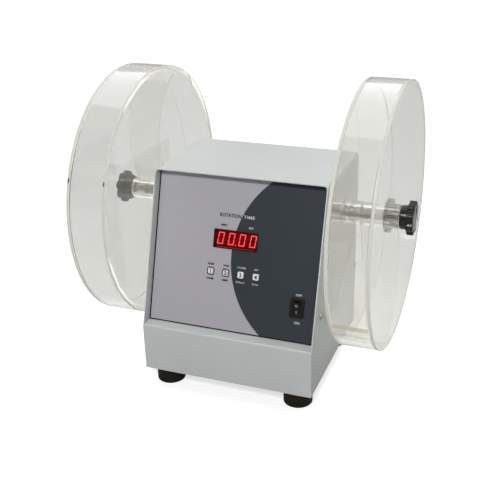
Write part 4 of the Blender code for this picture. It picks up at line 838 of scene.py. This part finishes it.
def rim_marks(side):
    """Dark ends of the ring's joint, which show in the rims of both discs."""
    radius = radius_of(f"{side}_cover_disc")
    for disc, body in (("back_disc", "axle"), ("cover_disc", f"{side}_cover")):
        middle = sum(span(side, disc)) / 2
        lie = (Matrix.Rotation(DISC_MARK[side], 4, "Z") @ Matrix.Translation((radius, 0, middle))
               @ Matrix.Rotation(pi / 2, 4, "Y"))
        mark = slab(rectangle(*DISC_MARK_SIZE), -INK, INK)
        piece(f"{side}_{disc}_rim_mark", mark, INKS["dark"], body, axle_matrix(side) @ lie)


def lobed_outline():
    """Broad round lobes with a finger hollow between each two."""
    count = KNOB_LOBES * KNOB_LOBE_STEPS
    outline = []
    for i in range(count):
        hollow = cos(pi * i / KNOB_LOBE_STEPS) ** KNOB_LOBE_POWER
        reach = KNOB_RADIUS - (KNOB_RADIUS - KNOB_VALLEY) * hollow
        outline.append((reach * cos(2 * pi * i / count), reach * sin(2 * pi * i / count)))
    return outline


def clamp_knob(side):
    """Lobed head on a round collar, a ring painted pale as its highlight, and a flat cap in its face."""
    start, end = span(side, "knob")
    neck = end - KNOB_HEAD
    floor = end - KNOB_RECESS
    ring = KNOB_CAP + KNOB_RING
    body = f"{side}_clamp_knob"
    head = slab(lobed_outline(), neck, end, KNOB_EDGE)
    recess = slab(circle(ring, steps=KNOB_STEPS), floor, end + OVERRUN)
    inside = neck + KNOB_HEAD * KNOB_COLLAR_SHARE
    collar = [(KNOB_BORE, start), (KNOB_COLLAR, start), (KNOB_COLLAR, inside), (KNOB_BORE, inside)]
    moulding = joined(carved(head, recess), lathe(fillet(collar, KNOB_COLLAR_EDGE, steps=5)))
    piece(f"{side}_knob_moulding", moulding, PHENOLIC, body, axle_matrix(side),
          (f"{side}_knob",))
    cap = slab(circle(KNOB_CAP, steps=KNOB_STEPS), floor + INK, floor + KNOB_CAP_HEIGHT, INK, segments=1)
    piece(f"{side}_knob_face", cap, POLISHED_PHENOLIC, body, axle_matrix(side),
          (f"{side}_knob_cap",))
    low = end - KNOB_RING_HEIGHT
    trim = [(KNOB_CAP + INK, low), (ring - INK, low), (ring - INK, end), (KNOB_CAP + INK, end)]
    piece(f"{side}_knob_ring", lathe(fillet(trim, INK, steps=1), KNOB_STEPS), TRIM_HIGHLIGHT, body,
          axle_matrix(side))


for side in SIDES:
    drum(side)
    cover_disc(side)
    if side in RING_SEAM:
        ring_seam(side)
    if side in DISC_MARK:
        rim_marks(side)
    clamp_knob(side)


# Feet


def foot(name):
    """Plain turned shape with rounded edges and a well for its screw."""
    low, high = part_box(name)
    radius = (high.x - low.x) / 2
    profile = [(FOOT_WELL, low.z), (radius, low.z), (radius, high.z), (FOOT_WELL, high.z)]
    middle = middle_of(name)
    piece(f"{name}_rubber", lathe(fillet(profile, FOOT_EDGE), FOOT_STEPS), RUBBER, "cabinet",
          Matrix.Translation((middle.x, middle.y, 0)), (name,))


for end_name in ENDS:
    for side in SIDES:
        foot(f"{end_name}_{side}_foot")


# Front panel


def printed(text, place, height, width=None, ink="dark"):
    """Capitals as flat ink in panel coordinates, centred on a place and fitted to a height and a width."""
    curve = bpy.data.curves.new("lettering", "FONT")
    curve.body = text
    curve.offset = INK_SPREAD[ink] * CAPITAL_SHARE / height
    curve.space_character = LETTER_SPACING
    curve.resolution_u = 3
    bm = finished(shown("lettering", curve))
    bpy.data.curves.remove(curve)
    bmesh.ops.remove_doubles(bm, verts=bm.verts, dist=WELD)
    xs = [vert.co.x for vert in bm.verts]
    ys = [vert.co.y for vert in bm.verts]
    tall = height / (max(ys) - min(ys))
    wide = width / (max(xs) - min(xs)) if width else tall
    to_middle = Matrix.Translation((-(min(xs) + max(xs)) / 2, -(min(ys) + max(ys)) / 2, 0))
    return placed(bm, Matrix.Translation((*place, INK)) @ Matrix.Diagonal((wide, tall, 1, 1)) @ to_middle)


def panel_prints():
    """The captions, as one piece for each ink."""
    for shade, ink in INKS.items():
        words = [printed(text, (across, up), height, width, shade)
                 for text, (across, up, height, width, colour) in CAPTIONS.items() if colour == shade]
        piece(f"{shade}_captions", joined(*words), ink, "cabinet", PANEL)


def panel_gasket():
    """Thin black strip that fills the gap between the film and the cabinet's walls: painted shade of that
    gap.
    """
    low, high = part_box("panel_overlay")
    width = high.x - low.x
    length = (high.z - low.z - FILM_THICKNESS * sin(LEAN)) / cos(LEAN)
    middle = (0, FILM_MARGIN + length / 2)
    rim = 2 * FILM_MARGIN
    outer = slab(rectangle(width + rim, length + rim, centre=middle), SHEET_FACE + INK, INK)
    inner = slab(rectangle(width - GAP_SHADE_LAP, length - GAP_SHADE_LAP, centre=middle), -OVERRUN, OVERRUN)
    piece("panel_gasket", carved(outer, inner), RUBBER, "cabinet", PANEL)


def key_place(number):
    """Middle of a key across the panel, from its own box."""
    return (PANEL.inverted() @ middle_of(f"key_{number}")).x, KEY_UP


def key_outline(place, grow=0.0):
    """Outline of a key's cap, or one that lies so far outside it."""
    return rectangle(KEY_WIDTH + 2 * grow, KEY_TALL + 2 * grow, KEY_CORNER + grow, place, steps=6)


def key_line(place, growths, height):
    """A printed line round a key, between two such outlines."""
    return band(*[key_outline(place, grow) for grow in growths], height)


def keys():
    """White caps with a printed digit; the first two have a dark printed outline on the pale film."""
    for number in range(1, KEY_COUNT + 1):
        place = key_place(number)
        body = f"key_{number}_body"
        cap = slab(key_outline(place), KEY_FOOT, KEY_FACE, KEY_EDGE)
        piece(f"key_{number}_cap", cap, WHITE_ABS, body, PANEL, (f"key_{number}",))
        marks = [placed(printed(str(number), place, KEY_DIGIT), Matrix.Translation((0, 0, KEY_FACE)))]
        if number in OUTLINED_KEYS:
            marks.append(key_line(place, KEY_LINE_INSIDE, KEY_FACE + INK))
            piece(f"key_{number}_outline", key_line(place, KEY_LINE_OUTSIDE, INK), INKS["dark"], "cabinet",
                  PANEL)
        piece(f"key_{number}_marks", joined(*marks), INKS["dark"], body, PANEL)


def zero_bars(digit, inset, thickness, low):
    """The six mitred segments of a slanted zero, at a distance inside its outline."""
    left, right = inset, DIGIT_WIDTH - inset
    bottom, top, middle = inset, DIGIT_HEIGHT - inset, DIGIT_HEIGHT / 2
    point = thickness / 2
    bars = []
    for end, inwards in ((bottom, 1), (top, -1)):
        bars.append([(left + SEGMENT_GAP, end), (right - SEGMENT_GAP, end),
                     (right - thickness - SEGMENT_GAP, end + inwards * thickness),
                     (left + thickness + SEGMENT_GAP, end + inwards * thickness)])
        for side, across in ((left, 1), (right, -1)):
            first = end + inwards * SEGMENT_GAP
            last = middle - inwards * (SEGMENT_GAP + point)
            bars.append([(side, first), (side + across * thickness, first + inwards * thickness),
                         (side + across * thickness, last), (side + across * point, last + inwards * point),
                         (side, last)])
    shapes = []
    for outline in bars:
        places = [(DIGIT_START + digit * DIGIT_PITCH + x + y * DIGIT_SLANT, DIGIT_UP + y) for x, y in outline]
        shapes.append(slab(places, low, low + LIGHT_HEIGHT))
    return shapes


def display():
    """Four digits of light bars and a point, in a red window with a thin black frame."""
    low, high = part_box("display_bezel")
    width = high.x - low.x + DISPLAY_WIDE
    middle = (PANEL.inverted() @ middle_of("display_bezel")).xy
    inner = (width - 2 * BEZEL_RIM, DISPLAY_TALL - 2 * BEZEL_RIM)
    bezel = slab(rectangle(width, DISPLAY_TALL, BEZEL_RIM, middle), BEZEL_BACK, BEZEL_FACE, BEZEL_EDGE,
                 segments=2)
    opening = slab(rectangle(*inner, OPENING_CORNER, middle), BEZEL_BACK - OVERRUN, BEZEL_FACE + OVERRUN)
    piece("display_bezel_frame", carved(bezel, opening), BLACK_ABS, "cabinet", PANEL,
          ("display_bezel",))
    pane = slab(rectangle(inner[0] - INK, inner[1] - INK, OPENING_CORNER, middle), WINDOW_BACK, WINDOW_FACE)
    piece("display_window_filter", pane, WINDOW, "cabinet", PANEL, ("display_window",))
    edges, middles = [], []
    lit_face = WINDOW_FACE + LIGHT_HEIGHT
    for digit in range(DIGIT_COUNT):
        edges += zero_bars(digit, 0.0, SEGMENT, WINDOW_FACE)
        middles += zero_bars(digit, (SEGMENT - SEGMENT_MIDDLE) / 2, SEGMENT_MIDDLE, lit_face)
    edges.append(slab(circle(POINT_RADIUS, POINT_PLACE), WINDOW_FACE, lit_face))
    middles.append(slab(circle(POINT_RADIUS / 2, POINT_PLACE), WINDOW_FACE, lit_face + LIGHT_HEIGHT))
    low_edge = (middle.x, middle.y - inner[1] / 2 + LIP_SIZE[1])
    lip = slab(rectangle(*LIP_SIZE, centre=low_edge), WINDOW_FACE, lit_face)
    piece("display_window_lip", lip, LIP, "cabinet", PANEL)
    for name, bars, finish in (("edges", edges, LIT_EDGE), ("middles", middles, LIT_MIDDLE)):
        piece(f"display_bar_{name}", joined(*bars), finish, "cabinet", PANEL)


# The rocker's outline lies in the plane of its tipping: up the slope, and out of the panel
TIPPING = Matrix(((0, 0, 1, 0), (1, 0, 0, 0), (0, 1, 0, 0), (0, 0, 0, 1)))


def rocker_height(up):
    """Height of the rocker's hollow face above its pivot."""
    return ROCKER_MID + (ROCKER_TIP - ROCKER_MID) * (up / ROCKER_SWING) ** 2


def rocker_mark(shape):
    """Lays a flat printed shape on the rocker's hollow face."""
    for vert in shape.verts:
        vert.co.z = rocker_height(vert.co.y) + INK
    return shape


def rocker_switch():
    """Snap-in frame with rounded edges, and the hollow rocker with its two marks, tipped to ON at rest."""
    pivot = PANEL.inverted() @ Vector(joint("rocker_tip")["pos_m"])
    place = pivot.xy

    def well():
        return slab(rectangle(ROCKER_WELL_WIDTH, ROCKER_WELL_TALL, SEAT, place), -ROCKER_WELL_DEPTH,
                    ROCKER_FRAME_FACE + OVERRUN)

    rim = slab(rectangle(ROCKER_FRAME_WIDTH, ROCKER_FRAME_TALL, ROCKER_FRAME_CORNER, place, steps=8), SEAT,
               ROCKER_FRAME_FACE, ROCKER_FRAME_EDGE)
    body = slab(rectangle(ROCKER_BODY_WIDTH, ROCKER_BODY_TALL, SEAT, place), -ROCKER_BODY_DEPTH, 2 * SEAT)
    piece("rocker_frame_moulding", joined(carved(rim, well()), carved(body, well())), BLACK_ABS, "cabinet",
          PANEL, ("rocker_frame",))
    face = [ROCKER_SWING * (2 * i / ROCKER_STEPS - 1) for i in range(ROCKER_STEPS + 1)]
    outline = [(up, rocker_height(up)) for up in face]
    outline += [(ROCKER_SWING, 0), (ROCKER_SWING / 2, -ROCKER_DROP), (-ROCKER_SWING / 2, -ROCKER_DROP),
                (-ROCKER_SWING, 0)]
    tipped = PANEL @ Matrix.Translation(pivot) @ Matrix.Rotation(ROCKER_REST, 4, "X")
    paddle = slab(outline, -ROCKER_WIDTH / 2, ROCKER_WIDTH / 2, ROCKER_EDGE, segments=2)
    piece("rocker_paddle", paddle, BLACK_ABS, "rocker_body", tipped @ TIPPING, ("rocker",))
    outer, inner = [circle(radius, (0, OFF_MARK_UP)) for radius in OFF_MARK_RADII]
    near, far = [rectangle(*size, centre=(0, ON_MARK_UP)) for size in (ON_MARK_SIZE, (INK, INK))]
    marks = joined(rocker_mark(band(outer, inner, 0)), rocker_mark(band(near, far, 0)))
    piece("rocker_marks", marks, INKS["pale"], "rocker_body", tipped)


panel_prints()
panel_gasket()
keys()
display()
rocker_switch()


# Rear


def power_inlet():
    """Snap-in mains inlet: rounded flange, six-sided socket and three plated blades."""
    middle = middle_of("power_inlet")
    # Seen from behind: X to the left of the cabinet, Y up, Z out of the rear panel
    facing = Matrix(((-1, 0, 0, middle.x), (0, 0, 1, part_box("power_inlet")[1].y), (0, 1, 0, middle.z),
                     (0, 0, 0, 1)))
    across = INLET_WIDTH / 2 - INLET_WALL
    up = INLET_TALL / 2 - INLET_WALL
    mouth = [(-across, -up), (across, -up), (across, up - INLET_CORNER), (across - INLET_CORNER, up),
             (INLET_CORNER - across, up), (-across, up - INLET_CORNER)]
    floor = INLET_WALL - INLET_DEPTH

    def socket():
        return slab(mouth, floor, OVERRUN)

    flange = slab(rectangle(INLET_WIDTH + 2 * INLET_RIM, INLET_TALL + 2 * INLET_RIM, INLET_RIM),
                  -INLET_RIM_THICKNESS, 0, INLET_EDGE)
    body = slab(rectangle(INLET_WIDTH, INLET_TALL, SEAT), -INLET_DEPTH, -INLET_RIM_THICKNESS + INLET_EDGE)
    housing = joined(carved(flange, socket()), carved(body, socket()))
    piece("power_inlet_housing", housing, BLACK_ABS, "cabinet", facing, ("power_inlet",))
    blades = [slab(rectangle(BLADE_THICKNESS, BLADE_WIDTH, SEAT, place), floor - SEAT, floor + BLADE_LENGTH,
                   BLADE_EDGE, segments=2) for place in BLADE_PLACES.values()]
    piece("power_inlet_blades", joined(*blades), NICKEL, "cabinet", facing)


power_inlet()


# Screws in the side walls


def cabinet_screw(name, side):
    """Pan head with a cross recess, and its shank in the flange."""
    radius = radius_of(name)
    profile = [(radius * across, SCREW_HEAD * up) for across, up in SCREW_DOME]
    profile += [(SCREW_SHANK, 0), (SCREW_SHANK, -SCREW_LENGTH), (0, -SCREW_LENGTH)]
    slot = rectangle(radius * CROSS_SHARE, CROSS_WIDTH)
    cross = [placed(slab(slot, SCREW_HEAD - CROSS_DEPTH, SCREW_HEAD + OVERRUN),
                    Matrix.Rotation(turn, 4, "Z")) for turn in (CROSS_TURN, CROSS_TURN + pi / 2)]
    outer = max(abs(corner.x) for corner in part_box(name)) - SCREW_HEAD
    middle = middle_of(name)
    place = Matrix.Translation((SIDES[side] * outer, middle.y, middle.z))
    piece(f"{name}_cross_head", carved(lathe(profile, SCREW_STEPS), *cross), SCREW_STEEL, "cabinet",
          place @ Matrix.Rotation(SIDES[side] * pi / 2, 4, "Y"), (name,))


for side in SIDES:
    for end_name in ENDS:
        cabinet_screw(f"{side}_{end_name}_cabinet_screw", side)


# Finishes of the frame's own pieces

FINISHES = {
    POWDER: ("cabinet_shell", "front_fascia", "rear_panel"),
    FILM: ("panel_overlay",),
    BLACK_ABS: ("display_module", "sensor_disc", "rotation_sensor"),
    ZINC: ("base_tray", "motor_bracket", "bearing_housing_left", "bearing_housing_right", "drive_gear",
           *[f"{end_name}_{side}_foot_screw" for end_name in ENDS for side in SIDES]),
    STEEL: ("axle", "bearing_left", "bearing_right", "motor_pinion",
            *[f"{side}_{node}" for side in SIDES for node in ("hub_screw", "clamp_stud")]),
    BOARD: ("keypad_board", "power_board"),
    CORE: ("transformer",),
    ALLOY: ("gearbox",),
    MOTOR_ENAMEL: ("motor",),
}
for material, names in FINISHES.items():
    for name in names:
        mesh = frame["nodes"][name].data
        mesh.materials.clear()
        mesh.materials.append(material)


# Studio


def seen_level(tree, matt, glossy, direct):
    """One level for matt surfaces, one for reflections, one for the eye and for what acrylic lets through."""
    shine = add(tree, "ShaderNodeLightPath", {}, "Is Glossy Ray")
    camera = add(tree, "ShaderNodeLightPath", {}, "Is Camera Ray")
    through = add(tree, "ShaderNodeLightPath", {}, "Is Transmission Ray")
    reflected = add(tree, "ShaderNodeMapRange", {"Value": shine, "To Min": matt, "To Max": glossy})
    clear = add(tree, "ShaderNodeMath", {0: camera, 1: through}, operation="MAXIMUM")
    return add(tree, "ShaderNodeMapRange", {"Value": clear, "To Min": reflected, "To Max": direct})


def studio_floor():
    """Pale sweep that reads white to the eye and pale in reflections, and keeps the object's soft shadow."""
    material, tree = blank("studio_sweep")[:2]
    paint = add(tree, "ShaderNodeBsdfDiffuse", {"Color": linear(FLOOR_PAINT)})
    glow = add(tree, "ShaderNodeEmission", {"Strength": seen_level(tree, 0.0, 0.0, FLOOR_GLOW)})
    both = add(tree, "ShaderNodeAddShader", {0: paint, 1: glow})
    add(tree, "ShaderNodeOutputMaterial", {"Surface": both})
    bm = bmesh.new()
    bmesh.ops.create_grid(bm, x_segments=1, y_segments=1, size=FLOOR_SIZE)
    mesh = meshed(bm, "studio_floor")
    mesh.materials.append(material)
    floor = shown("studio_floor", mesh)


def studio_world():
    """Even white room: dim to matt surfaces, paler in reflections, white to the eye and through acrylic."""
    world = bpy.data.worlds.new("studio")
    bpy.context.scene.world = world
    world.use_nodes = True
    tree = world.node_tree
    tree.nodes.clear()
    back = add(tree, "ShaderNodeBackground", {
        "Color": linear("#FFFFFF"), "Strength": seen_level(tree, ROOM_ON_MATT, ROOM_IN_SHINE, 1.0)})
    add(tree, "ShaderNodeOutputWorld", {"Surface": back})


def lamp(name, kind, place, target, settings):
    light = bpy.data.lights.new(name, kind)
    for setting, value in settings.items():
        setattr(light, setting, value)
    item = shown(name, light)
    item.location = place
    item.rotation_euler = (Vector(target) - Vector(place)).to_track_quat("-Z", "Y").to_euler()


def studio_camera():
    data = bpy.data.cameras.new("camera")
    data.lens = CAMERA_LENS
    data.sensor_width = PICTURE_WIDTH
    camera = shown("camera", data)
    camera.matrix_world = (
        Matrix.Translation(CAMERA_PLACE) @ Matrix.Rotation(CAMERA_TURN, 4, "Z")
        @ Matrix.Rotation(pi / 2 - CAMERA_DIP, 4, "X") @ Matrix.Rotation(CAMERA_ROLL, 4, "Z"))
    bpy.context.scene.camera = camera


studio_floor()
studio_world()
for name, settings in LAMPS.items():
    lamp(name, *settings)
studio_camera()
bpy.context.scene.view_settings.view_transform = "Standard"
